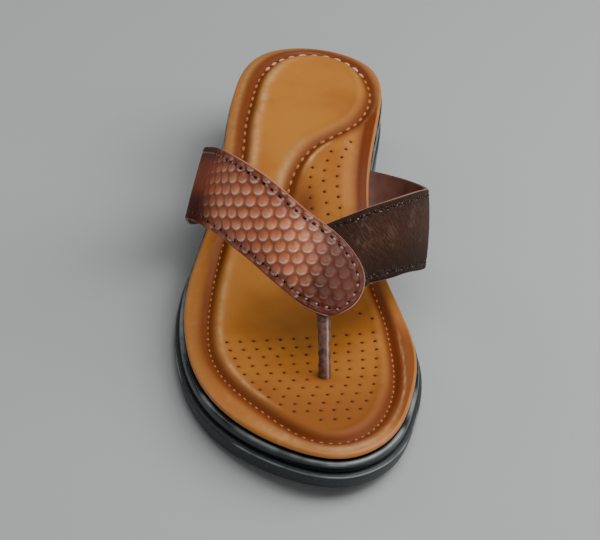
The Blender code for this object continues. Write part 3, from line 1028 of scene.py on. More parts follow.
class RepeatTree(Nodes):
    """Geometry Nodes that set a small form at points, turned to the surface."""

    SEED = 7
    VARY = (0.88, 1.10)
    BALL = {"Segments": 10, "Rings": 6, "Radius": 0.5}

    def __init__(self, kind: Repeat, material: Material) -> None:
        """Build the tree for one kind of form.

        Args:
            kind: stitches along a path, or holes at points.
            material: finish of each form.
        """
        super().__init__(bpy.data.node_groups.new(f"{kind.value}_run",
                                                  "GeometryNodeTree"))
        face = self.tree.interface
        face.new_socket("Geometry", in_out="INPUT", socket_type="NodeSocketGeometry")
        face.new_socket("Geometry", in_out="OUTPUT", socket_type="NodeSocketGeometry")
        self.sizes = [
            face.new_socket(name, in_out="INPUT", socket_type="NodeSocketFloat").identifier
            for name in ("Pitch", "Length", "Width", "Height")]
        points, pitch, length, width, rise, _ = self.node("NodeGroupInput").outputs
        up = self.out("GeometryNodeInputNamedAttribute", {"data_type": "FLOAT_VECTOR"},
                      {"Name": "up"}, "Attribute")
        turn = self.out("FunctionNodeAlignRotationToVector", {"axis": "Z"},
                        {"Vector": up})
        if kind is Repeat.STITCH:
            curve = self.out("GeometryNodeMeshToCurve", None, {"Mesh": points})
            points = self.out("GeometryNodeResampleCurve", {"mode": "LENGTH"},
                              {"Curve": curve, "Length": pitch})
            turn = self.out("FunctionNodeAlignRotationToVector",
                            {"axis": "X", "pivot_axis": "Z"},
                            {"Rotation": turn,
                             "Vector": self.out("GeometryNodeInputTangent")})
        size = self.out("ShaderNodeCombineXYZ", None, {0: length, 1: width, 2: rise})
        vary = self.out("FunctionNodeRandomValue", {"data_type": "FLOAT"},
                        {2: self.VARY[0], 3: self.VARY[1], "Seed": self.SEED}, 1)
        size = self.out("ShaderNodeVectorMath", {"operation": "SCALE"},
                        {0: size, "Scale": vary})
        soft = self.out("GeometryNodeSetShadeSmooth", None,
                        {0: self.out("GeometryNodeMeshUVSphere", None, self.BALL)})
        forms = self.out("GeometryNodeInstanceOnPoints", None,
                         {"Points": points, "Instance": soft, "Rotation": turn,
                          "Scale": size})
        real = self.out("GeometryNodeRealizeInstances", None, {0: forms})
        done = self.out("GeometryNodeSetMaterial", None,
                        {"Geometry": real, "Material": material})
        self.tree.links.new(done, self.node("NodeGroupOutput").inputs[0])

    def bake(self, name: str, runs: list[tuple[Points, Points]], pitch: float,
             form: Form, slot: Slot) -> None:
        """Run the tree, keep its result as a plain mesh and place it.

        Args:
            name: name of the piece.
            runs: points and surface normals, one pair for each path.
            pitch: distance between two forms on a path.
            form: length, width and height of each form.
            slot: record slot that its finish comes from; not used.
        """
        points, up = (np.concatenate(parts) for parts in zip(*runs))
        edges, start = [], 0
        for run, _ in runs:
            edges += [(start + i, start + i + 1) for i in range(len(run) - 1)]
            start += len(run)
        mesh = bpy.data.meshes.new(name + "_path")
        mesh.from_pydata((points * MM).tolist(), edges, [])
        layer = mesh.attributes.new("up", "FLOAT_VECTOR", "POINT")
        layer.data.foreach_set("vector", up.astype(np.float32).ravel())
        path = show(mesh.name, mesh)
        step = path.modifiers.new("repeat", "NODES")
        step.node_group = self.tree
        for size, value in zip(self.sizes, (pitch, *form)):
            step[size] = float(value * MM)
        ready = path.evaluated_get(bpy.context.evaluated_depsgraph_get())
        baked = bpy.data.meshes.new_from_object(ready)
        path.modifiers.remove(step)
        bpy.data.objects.remove(path, do_unlink=True)
        baked.name = name
        place(show(name, baked))


# ---- sole ---------------------------------------------------------------------
def rows_across(ring: Points, across: int, first: int,
                start: int) -> tuple[Points, list[list[int]]]:
    """Rows of points across the shoe, between the two sides of a ring.

    Args:
        ring: plan positions of the ring, from the heel and back to it.
        across: new points in each row.
        first: index of the ring's first point.
        start: index of the first new point.

    Returns:
        Plan positions of the new points, and each row's indices with both ring points.
    """
    share = np.arange(1, across + 1)[:, None] / (across + 1)
    plans, rows = [], []
    for i in range(1, len(ring) // 2):
        plans.append(part_way(ring[i], ring[-i], share))
        rows.append([first + i, *range(start, start + across), first + len(ring) - i])
        start += across
    return np.concatenate(plans), rows


def close_across(faces: list, rows: list[list[int]], heel: int, toe: int) -> None:
    """Add the faces between rows across the shoe, closed at the heel and the toe.

    Args:
        faces: faces so far, added to.
        rows: indices of each row's points.
        heel: index of the point behind the first row.
        toe: index of the point ahead of the last row.
    """
    for k in range(len(rows[0]) - 1):
        faces.append((heel, rows[0][k], rows[0][k + 1]))
        faces.append((toe, rows[-1][k + 1], rows[-1][k]))
    for low, high in zip(rows, rows[1:]):
        for k in range(len(low) - 1):
            faces.append((low[k], high[k], high[k + 1], low[k + 1]))


@dataclass
class SoleBand:
    """One moulded band of the sole, from rings round the footbed's edge."""

    name: str
    node: str
    slot: Slot
    finish: Rubber
    rings: tuple[tuple[float, Datum, float], ...]
    # rings that carry a painted highlight line, with its share
    highlight_rings: tuple[tuple[int, float], ...]
    ribs: int = 420
    across: int = 70
    tread_pitch: float = 7.5
    tread_depth: float = 1.1
    tread_margin: float = 7.0
    tread_edge: float = 1.5
    tread_slope: Pair = (0.62, 0.86)
    wave_height: float = 2.4
    wave_length: float = 18.0

    def _groove(self, plan: Points) -> Points:
        """Depth of the waved tread grooves at plan positions.

        Args:
            plan: plan positions.

        Returns:
            Depths, none near the edge.
        """
        far, _ = nearest(plan, EDGE.line[::6])
        turn = plan[:, 0] * 2 * math.pi / self.wave_length
        wave = plan[:, 1] + self.wave_height * np.sin(turn)
        phase = np.abs((wave / self.tread_pitch) % 1.0 - 0.5) * 2
        return self.tread_depth * smooth(*self.tread_slope, phase) * smooth(
            self.tread_margin, self.tread_margin + self.tread_edge, far)

    def build(self) -> None:
        """Make the band and hand it to the frame."""
        count = 2 * self.ribs
        plans = [EDGE.ring(outset, self.ribs) for outset, _, _ in self.rings]
        points = [np.column_stack((plan, height(datum, *plan.T) + lift))
                  for plan, (_, datum, lift) in zip(plans, self.rings)]
        faces = ring_faces(len(self.rings), count)
        start = len(self.rings) * count
        for ring in (0, len(self.rings) - 1):
            first = ring * count
            _, datum, lift = self.rings[ring]
            plan, rows = rows_across(plans[ring], self.across, first, start)
            close_across(faces, rows, first, first + self.ribs)
            start += len(plan)
            level = height(datum, *plan.T) + lift
            if datum is TREAD:
                level = level + self._groove(plan)
            points.append(np.column_stack((plan, level)))
        # painted highlight line along the bright rings
        line = np.zeros(start)
        for ring, share in self.highlight_rings:
            line[ring * count:(ring + 1) * count] = share
        shape = Shape(np.concatenate(points), faces, {"line": line})
        shape.piece(self.name, self.finish.material(), self.slot, self.node)


OUTSOLE_BAND = SoleBand(
    "outsole_band", "outsole", Slot.OUTSOLE,
    Rubber("speckled_rubber", (0.010, 0.015, 0.016), (0.060, 0.080, 0.082),
           0.55, 0.46, 0.10),
    (
        # outset, from, above
        (0.9, TREAD, 0.0), (1.2, TREAD, 0.05), (1.8, TREAD, 0.4),
        (2.3, TREAD, 1.1), (2.6, TREAD, 2.0), (2.85, TREAD, 3.2),
        (3.1, SPLIT, -3.0), (3.25, SPLIT, -2.2), (3.25, SPLIT, -1.5),
        (3.1, SPLIT, -1.0), (2.75, SPLIT, -0.6), (2.3, SPLIT, -0.3),
        (1.7, SPLIT, -0.15), (1.0, SPLIT, -0.05),
    ),
    highlight_rings=((9, 1.0),),
)
MIDSOLE_BAND = SoleBand(
    "midsole_band", "midsole", Slot.MIDSOLE,
    Rubber("smooth_rubber", (0.008, 0.012, 0.013), (0.050, 0.066, 0.070),
           0.18, 0.22, 0.03),
    (
        (0.5, SPLIT, 0.05), (0.9, SPLIT, 0.3), (1.2, SPLIT, 0.7),
        (1.45, SPLIT, 1.3), (1.55, SPLIT, 2.2), (1.6, SHOULDER, -2.6),
        (1.55, SHOULDER, -1.7), (1.4, SHOULDER, -1.0), (1.1, SHOULDER, -0.5),
        (0.7, SHOULDER, -0.2), (0.2, SHOULDER, -0.05), (-0.5, SHOULDER, 0.0),
        (-1.6, SHOULDER, 0.0), (-RECESS_DEPTH, SHOULDER, 0.0),
        (-RECESS_DEPTH - 0.4, FOOTBED, -CLEARANCE),
    ),
    highlight_rings=((7, 0.3), (8, 0.8), (9, 1.0), (10, 0.8)),
    across=6,
)


# ---- footbed ------------------------------------------------------------------
@dataclass
class Footbed:
    """Leather-wrapped insole with a rolled rim, a sewn channel and small holes."""

    ribs: int = 430
    across: int = 104
    wall: tuple[Pair, ...] = (
        # outset, above the underside
        (-1.2, 0.0), (-0.7, 0.1), (-0.3, 0.45), (-0.08, 0.95), (0.0, 1.5),
        (-0.1, 2.0), (-0.4, 2.4), (-0.9, 2.65),
    )
    rim_profile: tuple[Pair, ...] = (
        # in from the edge, above the underside
        (0.0, 1.6), (0.5, 2.45), (1.2, 2.75), (2.6, 3.1), (4.4, 3.7), (6.0, 4.0),
        (7.6, 4.1), (9.0, 4.3), (12.4, CUSHION_HEIGHT), (60.0, CUSHION_HEIGHT),
    )
    first_ring: float = 1.4
    ring_step: float = 0.75
    rim_width: float = 13.5
    seam_step: float = 0.4
    seam_fade: Pair = (14.0, 12.0)
    channel_depth: float = 1.9
    channel_half: float = 1.9
    crown_at: float = 4.8
    crown_half: float = 1.9
    crown_height: float = 0.5
    crease_at: float = 5.0
    crease_half: float = 0.9
    crease_depth: float = 0.45
    hole_half: float = 0.95
    hole_depth: float = 0.35
    hole_shade_form: Form = (1.35, 1.35, 0.34)
    post: Pair = (3.6, -173.3)
    post_half: float = 4.4
    post_dent: float = 0.6
    post_clear: float = 4.6
    toe_stitch: Form = (1.9, 1.0, 0.9)
    toe_pitch: float = 3.7
    side_stitch: Form = (3.1, 1.5, 1.3)
    back_stitch: Form = (4.03, 1.725, 1.56)
    heel_pitch: float = 5.1
    heel_from: float = -80.0
    back_from: float = 26.0
    hidden_stitches: int = 20
    stitch_lift: float = -0.05
    hole_lift: float = 0.14
    slope_step: float = 0.6

    def __post_init__(self) -> None:
        """Trace the channel and set out the holes."""
        self.seam = spaced(SEAM, self.seam_step)
        along = unit(np.gradient(self.seam, axis=0))
        self.inward = np.stack((along[:, 1], -along[:, 0]), axis=1)
        run = chord_lengths(self.seam)
        first, last = self.seam_fade
        self.open = smooth(0.0, first, run) * smooth(0.0, last, run[-1] - run)
        self.holes = self._holes()

    def _from_post(self, plan: Points) -> Points:
        """Distance from the middle of the post."""
        return np.hypot(plan[:, 0] - self.post[0], plan[:, 1] - self.post[1])

    def _holes(self) -> Points:
        """Set out the small holes, none of them under the post.

        Returns:
            Their plan positions.
        """
        spots = []
        for x0, y0, x1, y1, count in HOLE_ROWS:
            share = np.linspace(0.0, 1.0, count)[:, None]
            spots.append(part_way(np.array((x0, y0)), np.array((x1, y1)), share))
        for column in HOLE_COLUMNS:
            spots.append(spaced(column, HOLE_PITCH))
        spots = np.concatenate(spots)
        return spots[self._from_post(spots) > self.post_clear]

    def measures(self, plan: Points) -> dict[str, Points]:
        """What the relief and the looks depend on.

        Args:
            plan: plan positions.

        Returns:
            Places, distances from edge and seam (inner is signed, inwards), and shares.
        """
        seam, index = nearest(plan, self.seam)
        edge, _ = nearest(plan, EDGE.line)
        hole, _ = nearest(plan, self.holes)
        found = {"x": plan[:, 0], "y": plan[:, 1], "edge": edge, "seam": seam,
                 "inner": ((plan - self.seam[index]) * self.inward[index]).sum(axis=1),
                 "open": self.open[index], "pit": bell(hole, self.hole_half),
                 "post": bell(self._from_post(plan), self.post_half)}
        found["crease"] = bell(edge - self.crease_at, self.crease_half) * region(
            found, *CREASE_REGION)
        return found

    def level(self, at: dict[str, Points]) -> Points:
        """Height of the top face, from the measures of its points.

        Args:
            at: measures of the points.

        Returns:
            Heights above the floor.
        """
        x, y, edge = at["x"], at["y"], at["edge"]
        level = height(FOOTBED, x, y) + level_curve(*np.array(self.rim_profile).T, edge)
        for _, cx, cy, half_x, half_y, rise in CUSHION_FORMS:
            form = np.exp(-((x - cx) / half_x) ** 2 - ((y - cy) / half_y) ** 2)
            level = level + rise * form * smooth(6.0, 13.0, edge)
        channel = bell(at["seam"], self.channel_half) * at["open"]
        crown = bell(at["seam"] - self.crown_at, self.crown_half) * at["open"]
        crown = crown * region(at, INSIDE)
        level = level - self.channel_depth * channel + self.crown_height * crown
        level = level - self.crease_depth * at["crease"]
        return level - self.hole_depth * at["pit"] - self.post_dent * at["post"]

    def looks(self, at: dict[str, Points]) -> dict[str, Points]:
        """Named values that the finish reads, from the measures of the points.

        Args:
            at: measures of the points.

        Returns:
            Values from 0 to 1; crown, the painted sheen, goes higher where it is brightest.
        """
        x, y, seam, live = at["x"], at["y"], at["seam"], at["open"]
        beyond = region(at, BEYOND)
        # painted shade in the sewn channel
        shade = np.maximum(bell(seam, 3.0), 0.9 * bell(seam - 2.0, 2.6) * beyond) * live
        # painted highlight on the polished streak outside the seam's bend
        streak = bell(seam - 3.9, 1.0) * bell(y + 38.0, 10.0) * region(
            at, BEYOND, ("x", -7.0, -2.0), ("x", 13.0, 8.0))
        # painted sheen: a pale band inside the seam, fading at the inner side, the waist and
        # the toe
        pale = bell(seam - self.crown_at, 1.2 + 0.7 * smooth(-90.0, -60.0, y)) * live
        pale = pale * region(at, INSIDE, ("y", -205.0, -185.0)) * (
            0.12 + 0.88 * smooth(2.0, -14.0, x)) * (1 - 0.65 * bell(y + 90.0, 20.0))
        pale = np.maximum(pale, 2.0 * streak)
        for line, middle, half, share, ramps in SHEEN_BANDS:
            pale = np.maximum(pale, share * bell(at[line] - middle, half)
                              * region(at, *ramps))
        rim = region(at, ("inner", 0.6, -1.2), ("edge", 16.0, 12.0)) * live
        rim = np.maximum(rim, smooth(5.2, 4.2, at["edge"]))
        # dark patch beside the seam's end, then the areas of the table
        dusk = 0.9 * np.exp(-((x + 2.0) / 7.0) ** 2 - ((y + 68.0) / 13.0) ** 2)
        for share, on_rim, ramps in DARK_AREAS:
            dusk = dusk + share * region(at, *ramps) * (rim if on_rim else 1.0)
        return {"rim": rim, "roll": smooth(7.0, 4.0, at["edge"]), "crown": pale,
                # painted shade in the channel and the creases
                "channel": np.maximum(shade * (1 - 0.9 * streak), at["crease"] * 0.95),
                # painted shade in the hole dimples and round the foot of the post
                "pit": np.maximum(at["pit"], at["post"] * 0.7),
                # painted shade towards the toe
                "toe": smooth(-150.0, -205.0, y) * (1 - rim),
                "dusk": np.clip(dusk, 0.0, 1.0)}

    def _leather(self, leather: Material) -> None:
        """Make the leather-wrapped body.

        Args:
            leather: its finish.
        """
        count = 2 * self.ribs
        points = []
        for outset, lift in self.wall:
            plan = EDGE.ring(outset, self.ribs)
            points.append(np.column_stack((plan, height(FOOTBED, *plan.T) + lift)))
        insets = np.arange(self.first_ring, self.rim_width, self.ring_step)
        plans = [EDGE.ring(-inset, self.ribs) for inset in insets]
        rings = len(points) + len(plans)
        faces = ring_faces(rings, count)
        first = (rings - 1) * count
        inside, rows = rows_across(plans[-1], self.across, first, rings * count)
        close_across(faces, rows, first, first + self.ribs)
        under = [[i, count - i] for i in range(1, self.ribs)]
        close_across(faces, under, 0, self.ribs)
        top = np.concatenate((*plans, inside))
        at = self.measures(top)
        points.append(np.column_stack((top, self.level(at))))
        values = {}
        for key, value in self.looks(at).items():
            side = 1.0 if key in ("rim", "roll") else 0.0
            values[key] = np.concatenate((np.full(len(self.wall) * count, side), value))
        shape = Shape(np.concatenate(points), faces, values)
        shape.piece("footbed_leather", leather, Slot.FOOTBED, "footbed")

    def build(self, leather: Material, thread: Material, highlight_thread: Material,
              hole: Material) -> None:
        """Make the footbed, its stitches and its holes.

        Args:
            leather: finish of the footbed.
            thread: finish of the stitches.
            highlight_thread: finish of the stitches round the back of the heel, paler as
                painted highlight.
            hole: finish of the dark forms set in the holes as painted shade.
        """
        self._leather(leather)
        seam, ends = self.seam, self.hidden_stitches
        side = int(np.flatnonzero(seam[:, 1] < self.heel_from)[-1])
        back, arch = np.flatnonzero(seam[:, 1] > self.back_from)[[0, -1]]
        tan = RepeatTree(Repeat.STITCH, thread)
        # paler copy of the tan thread, as painted highlight on the heel's back
        pale = RepeatTree(Repeat.STITCH, highlight_thread)
        for name, run, pitch, form, tree in (
                ("toe", seam[ends:side], self.toe_pitch, self.toe_stitch, tan),
                ("side", seam[side:back], self.heel_pitch, self.side_stitch, tan),
                ("heel", seam[back:arch], self.heel_pitch, self.back_stitch, pale),
                ("arch", seam[arch:-ends], self.heel_pitch, self.side_stitch, tan)):
            tree.bake(name + "_stitches", [self._on_top(run, self.stitch_lift)], pitch,
                      form, Slot.FOOTBED)
        # dark forms in the holes, as painted shade
        RepeatTree(Repeat.HOLE, hole).bake(
            "footbed_holes", [self._on_top(self.holes, self.hole_lift)], HOLE_PITCH,
            self.hole_shade_form, Slot.FOOTBED)

    def _on_top(self, plan: Points, lift: float) -> tuple[Points, Points]:
        """Points on the top face, with its normals.

        Args:
            plan: plan positions.
            lift: distance above the face.

        Returns:
            The points and the normals.
        """
        step = self.slope_step
        slope = []
        for axis in ((step, 0.0), (0.0, step)):
            ahead = self.level(self.measures(plan + np.array(axis)))
            behind = self.level(self.measures(plan - np.array(axis)))
            slope.append((ahead - behind) / (2 * step))
        up = unit(np.column_stack((-slope[0], -slope[1], np.ones(len(plan)))))
        level = self.level(self.measures(plan))
        return np.column_stack((plan, level)) + up * lift, up


# ---- straps -------------------------------------------------------------------
class StrapSheet:
    """Middle surface of a strap: one spline along each of its columns."""

    STEP = 0.002

    def __init__(self, rows: list[Points], side: Side) -> None:
        """Keep the rows and how far along each one is."""
        self.rows = np.array(rows)
        self.knots = chord_lengths(self.rows.mean(axis=1))
        self.side = side

    def points(self, lengths: Points) -> Points:
        """Rows of points at these shares of the strap's length."""
        return natural_spline(self.knots, self.rows,
                              np.asarray(lengths) * self.knots[-1])

    def normals(self, lengths: Points) -> Points:
        """Outward normals of the same rows.

        Args:
            lengths: shares of the strap's length.

        Returns:
            A row of normals for each share.
        """
        lengths = np.asarray(lengths)
        before, after = (np.clip(lengths + step, 0, 1) for step in (-self.STEP, self.STEP))
        along = self.points(after) - self.points(before)
        across = np.gradient(self.points(lengths), axis=1)
        return unit(np.cross(along, across) * self.side.value)

    def below(self, length: float, width: float, drop: float) -> Points:
        """A point under the surface, at shares of its length and width."""
        middle = self.points([length])[0] - self.normals([length])[0] * drop
        return straight(width, np.linspace(0.0, 1.0, len(middle)), middle)

    def fine(self, rows: int, columns: int) -> tuple[Points, Points]:
        """A fine grid of the sheet.

        Args:
            rows: rows along the strap.
            columns: points across it.

        Returns:
            Points and outward normals, rows by columns.
        """
        lengths = np.linspace(0.0, 1.0, rows)
        coarse = np.arange(STRAP_COLUMNS)
        at = np.linspace(0.0, STRAP_COLUMNS - 1, columns)
        grids = []
        for grid in (self.points(lengths), self.normals(lengths)):
            grids.append(natural_spline(coarse, grid.swapaxes(0, 1), at).swapaxes(0, 1))
        return grids[0], unit(grids[1])


def unroll(grid: Points) -> Points:
    """Lay a strap flat, row by row, with its true lengths.

    Args:
        grid: points, rows by columns.

    Returns:
        Flat positions in millimetres, rows by columns.
    """
    rear, front = grid[:, 0], grid[:, -1]
    flat = np.zeros(grid.shape[:2] + (2,))
    a, b = np.zeros(2), np.array((0.0, -np.linalg.norm(front[0] - rear[0])))
    edges = [(a, b)]
    for k in range(len(grid) - 1):
        a2 = _third(a, b, np.linalg.norm(rear[k + 1] - rear[k]),
                    np.linalg.norm(rear[k + 1] - front[k]))
        b2 = _third(a2, b, np.linalg.norm(front[k + 1] - rear[k + 1]),
                    np.linalg.norm(front[k + 1] - front[k]))
        a, b = a2, b2
        edges.append((a, b))
    share = np.linspace(0.0, 1.0, grid.shape[1])[:, None]
    for k, (a, b) in enumerate(edges):
        flat[k] = part_way(a, b, share)
    return flat


def _third(a: Points, b: Points, from_a: float, from_b: float) -> Points:
    """Third corner of a flat triangle, on the left of the line from b to a.

    Args:
        a: first corner.
        b: second corner.
        from_a: distance from a.
        from_b: distance from b.

    Returns:
        The third corner.
    """
    base = max(np.linalg.norm(b - a), TINY)
    along = (b - a) / base
    reach = (from_a ** 2 - from_b ** 2 + base ** 2) / (2 * base)
    rise = math.sqrt(max(from_a ** 2 - reach ** 2, 0.0))
    return a + along * reach + np.array((-along[1], along[0])) * rise


def root_rows(side: Side, rear_y: float, front_y: float) -> list[Points]:
    """Middle of a strap's wall between footbed and midsole, inner end first.

    Args:
        side: side of the foot.
        rear_y: where its rear edge leaves the footbed.
        front_y: where its front edge does.

    Returns:
        Rows of points across the strap.
    """
    ys = np.linspace(rear_y, front_y, STRAP_COLUMNS)
    rows = []
    for outset in ROOT_OUTSETS:
        plan = EDGE.at(side, ys, outset)
        level = height(FOOTBED, plan[:, 0], plan[:, 1]) - CLEARANCE - STRAP_WALL / 2
        rows.append(np.column_stack((plan, level)))
    return rows


def table_rows(table: tuple, side: Side) -> list[Points]:
    """Middle of a strap's wall at each row of its table, domed between its edges.

    Args:
        table: rear edge, front edge and dome of each row.
        side: side of the foot.

    Returns:
        Rows of points across the strap.
    """
    table = np.array(table)
    rear, front, dome = table[:, 0:3], table[:, 3:6], table[:, 6]
    along = np.gradient((rear + front) / 2, axis=0)
    out = unit(np.cross(along, front - rear) * side.value)
    share = np.linspace(0.0, 1.0, STRAP_COLUMNS)
    rows = []
    for k in range(len(table)):
        line = part_way(rear[k], front[k], share[:, None])
        rise = dome[k] * 4 * share * (1 - share)
        rows.append(line + out[k] * rise[:, None])
    return rows


@dataclass(frozen=True)
class Scales:
    """Round scales embossed in staggered rows, each one raised at its front."""

    pitch: float = 5.65
    row_pitch: float = 4.75
    lean: float = 0.125
    radius: float = 2.48
    height: float = 0.85
    lip_at: float = 2.02
    lip_half: float = 0.22
    instep: float = 0.70  # share of the strap's length

    def _places(self, grid: Points, flat: Points) -> tuple[Points, Points]:
        """Flat places, turned so that the rows run across the shoe at the instep.

        Args:
            grid: the strap's points.
            flat: the same points laid flat.

        Returns:
            Distance along the rows and across them.
        """
        row, column = int(self.instep * len(grid)), grid.shape[1] // 2
        steps = [np.stack((laid[row + 4, column] - laid[row - 4, column],
                           laid[row, -8] - laid[row, 8])) for laid in (grid, flat)]
        weight = np.linalg.lstsq(steps[0].T, np.array((1.0, 0.0, 0.0)), rcond=None)[0]
        along = unit(weight @ steps[1])
        ahead = np.array((-along[1], along[0]))
        if (flat[row, -1] - flat[row, 0]) @ ahead < 0:
            ahead = -ahead
        away = flat - flat[row, column]
        return away @ along, away @ ahead

    def fields(self, grid: Points, flat: Points) -> dict[str, Points]:
        """Height, painted lip highlight, place from back to front and own tone of each
        scale, 0 to 1.

        Args:
            grid: the strap's points.
            flat: the same points laid flat.

        Returns:
            The four values at each point.
        """
        u, v = self._places(grid, flat)
        best = np.full(u.shape, np.inf)
        ahead, tone = np.zeros_like(u), np.zeros_like(u)
        for shift in (0, 1):
            row = 2 * np.round((v / self.row_pitch - shift) / 2) + shift
            middle_v = row * self.row_pitch
            lean = self.lean * middle_v
            place_in_row = np.round((u + lean) / self.pitch - shift / 2) + shift / 2
            middle_u = place_in_row * self.pitch - lean
            far = np.hypot(u - middle_u, v - middle_v)
            closer = far < best
            best = np.where(closer, far, best)
            ahead = np.where(closer, v - middle_v, ahead)
            tone = np.where(closer, scatter(np.round(middle_u), row), tone)
        cap = np.clip(1 - (best / self.radius) ** 2, 0.0, 1.0) ** 0.6
        front = np.clip(ahead / np.maximum(best, 0.3), 0.0, 1.0)
        # painted highlight along the front lip of each scale
        lip = bell(best - self.lip_at, self.lip_half) * smooth(0.30, 0.95, front)
        # ahead also sets the painted light and shade across each dome
        return {"scale": cap * (0.70 + 0.30 * ahead / self.radius), "lip": lip,
                "ahead": np.clip(0.5 + 0.5 * ahead / self.radius, 0.0, 1.0),
                "tone": tone}


def scatter(column: Points, row: Points) -> Points:
    """Number from 0 to 1 that looks random but is fixed for each column and row."""
    return np.mod(np.sin(column * 12.99 + row * 78.23) * 4375.85, 1.0)


@dataclass
class Strap:
    """A strap of two layers: its leather and its lining."""

    name: str
    sheet: StrapSheet
    rows: int
    columns: int
    stitch_inset: float
    stitch_pitch: float
    stitch: Form
    scales: Scales | None = None
    seam_depth: float = 0.25
    seam_half: float = 0.7
    split: float = 0.05
    pucker: Form = (1.7, 1.1, 0.6)
    pucker_shift: int = 6  # points along the line, so that it lies between stitches
    sewn_from: float = 0.11  # share of the length
    rounding: Pair = (0.45, 0.9)
    lining_rounding: Pair = (0.3, 0.8)

    def __post_init__(self) -> None:
        """Sample the sheet and measure it."""
        self.grid, self.out = self.sheet.fine(self.rows, self.columns)
        self.flat = unroll(self.grid)
        across = self.grid[:, -1] - self.grid[:, 0]
        width = np.linalg.norm(across, axis=1)[:, None]
        self.share = np.linspace(0.0, 1.0, self.columns) + np.zeros((self.rows, 1))
        # measured square to the edges, not along the slanting rows
        run = unit(np.gradient(self.grid[:, 0], axis=0))
        slant = (run * across / np.maximum(width, TINY)).sum(axis=1)
        square = np.sqrt(np.clip(1 - slant ** 2, 0.05, 1.0))[:, None]
        self.to_edge = np.minimum(self.share, 1 - self.share) * width * square
        total = chord_lengths(self.grid.mean(axis=1))[:, None]
        self.along = total / total[-1] + 0 * self.share
        self.to_end = total[-1] - total + 0 * self.share
        if self.scales:
            self.to_edge = np.minimum(self.to_edge, self.to_end + 0.6)

    def _rounded(self, depth: float, reach: float) -> Points:
        """How much an edge is rounded off: all the depth at the edge, none at reach."""
        return depth * np.clip(1 - self.to_edge / reach, 0.0, 1.0) ** 2

    def _layer(self, top: Points, bottom: Points,
               values: dict[str, tuple[Points, Points]]) -> Shape:
        """Closed shell between two grids, with its end rows capped.

        Args:
            top: outer points, rows by columns.
            bottom: inner points.
            values: named values of the outer and of the inner points.

        Returns:
            The shell.
        """
        rows, columns = self.rows, self.columns
        shell = np.concatenate((top, bottom[:, ::-1]), axis=1)
        ring = 2 * columns
        faces = ring_faces(rows, ring)
        for base in (0, (rows - 1) * ring):
            for i in range(columns - 1):
                quad = (base + i, base + i + 1, base + ring - 2 - i, base + ring - 1 - i)
                faces.append(quad if base == 0 else quad[::-1])
        twice = {}
        for key, (over, under) in values.items():
            twice[key] = np.concatenate((over, under[:, ::-1]), axis=1).ravel()
        flat = np.concatenate((self.flat, self.flat[:, ::-1]), axis=1).reshape(-1, 2)
        return Shape(shell.reshape(-1, 3), faces, twice, flat)

    def _embossed(self) -> tuple[Points, dict[str, Points]]:
        """Relief of the scales and the named values that their finish reads.

        Returns:
            Heights above the leather, and the values.
        """
        looks = self.scales.fields(self.grid, self.flat)
        keep = smooth(0.4, 1.6, self.to_edge) * (
            1 - 0.55 * smooth(34.0, 10.0, self.to_end))
        formed = 0.10 + 0.90 * smooth(0.32, 0.52, self.along)
        relief = self.scales.height * (looks["scale"] - 0.35) * keep * formed
        # root: where the painted shade and glow of the strap's root lie
        root = smooth(0.62, 0.28, self.along)
        looks["scale"] *= keep
        looks["lip"] *= keep * formed * (1 - root)
        looks |= {"root": root, "tip": smooth(46.0, 14.0, self.to_end),
                  "edge": smooth(9.0, 2.0, self.to_edge) * (1 - root)}
        return relief, looks

    def build(self, leather: Material, lining: Material, thread: Material,
              puckered: Material | None = None, node: str | None = None) -> None:
        """Make both layers and the stitches.

        Args:
            leather: finish of the outside.
            lining: finish of the inside.
            thread: finish of the stitches.
            puckered: finish of the leather raised beside each stitch, if any is.
            node: CAD node that the outside stands for, if any.
        """
        half = STRAP_WALL / 2
        seam = bell(self.to_edge - self.stitch_inset, self.seam_half)
        lift = -self.seam_depth * seam - self._rounded(*self.rounding)
        # pit is painted shade in the stitch groove; middle places the painted sheen and glow
        looks = {"pit": seam * 0.6, "cut": smooth(0.30, 0.0, self.to_edge),
                 "middle": bell(self.share - 0.40, 0.40), "seam": seam}
        if self.scales:
            relief, embossed = self._embossed()
            lift = lift + relief
            looks |= embossed
        top = self.grid + self.out * (half + lift)[:, :, None]
        middle = self.grid + self.out * self.split
        values = {key: (over, np.full_like(over, key == "cut"))
                  for key, over in looks.items()}
        shape = self._layer(top, middle, values)
        shape.piece(self.name, leather, Slot.STRAP, node)
        inside = half - self._rounded(*self.lining_rounding)
        shape = self._layer(self.grid - self.out * self.split,
                            self.grid - self.out * inside[:, :, None], {})
        shape.piece(self.name + "_lining", lining, Slot.STRAP)
        runs = self._stitch_lines(top)
        RepeatTree(Repeat.STITCH, thread).bake(
            self.name + "_stitches", runs, self.stitch_pitch, self.stitch, Slot.STRAP)
        if puckered:
            later = self.pucker_shift
            between = [(line[later:], up[later:]) for line, up in runs]
            RepeatTree(Repeat.STITCH, puckered).bake(
                self.name + "_puckers", between, self.stitch_pitch, self.pucker,
                Slot.STRAP)

    def _stitch_lines(self, top: Points) -> list[tuple[Points, Points]]:
        """Lines at an even distance inside the edges, with the surface's normals.

        Args:
            top: outer points, rows by columns.

        Returns:
            Points and normals: one pair for each edge, or one round the tip.
        """
        half = self.columns // 2
        runs = []
        for order in (np.arange(half), np.arange(self.columns - 1, half, -1)):
            line, up = [], []
            for k in np.flatnonzero(self.along[:, 0] > self.sewn_from):
                reach = self.to_edge[k, order]
                if reach.max() <= self.stitch_inset:
                    continue
                share = np.interp(self.stitch_inset, reach, order.astype(float))
                low, part = int(share), share - int(share)
                line.append(top[k, low] * (1 - part) + top[k, low + 1] * part)
                up.append(self.out[k, low])
            runs.append((np.array(line), np.array(up)))
        if self.scales:
            # one run round the strap's tip
            (a, up_a), (b, up_b) = runs
            return [(np.concatenate((a, b[::-1])), np.concatenate((up_a, up_b[::-1])))]
        return runs


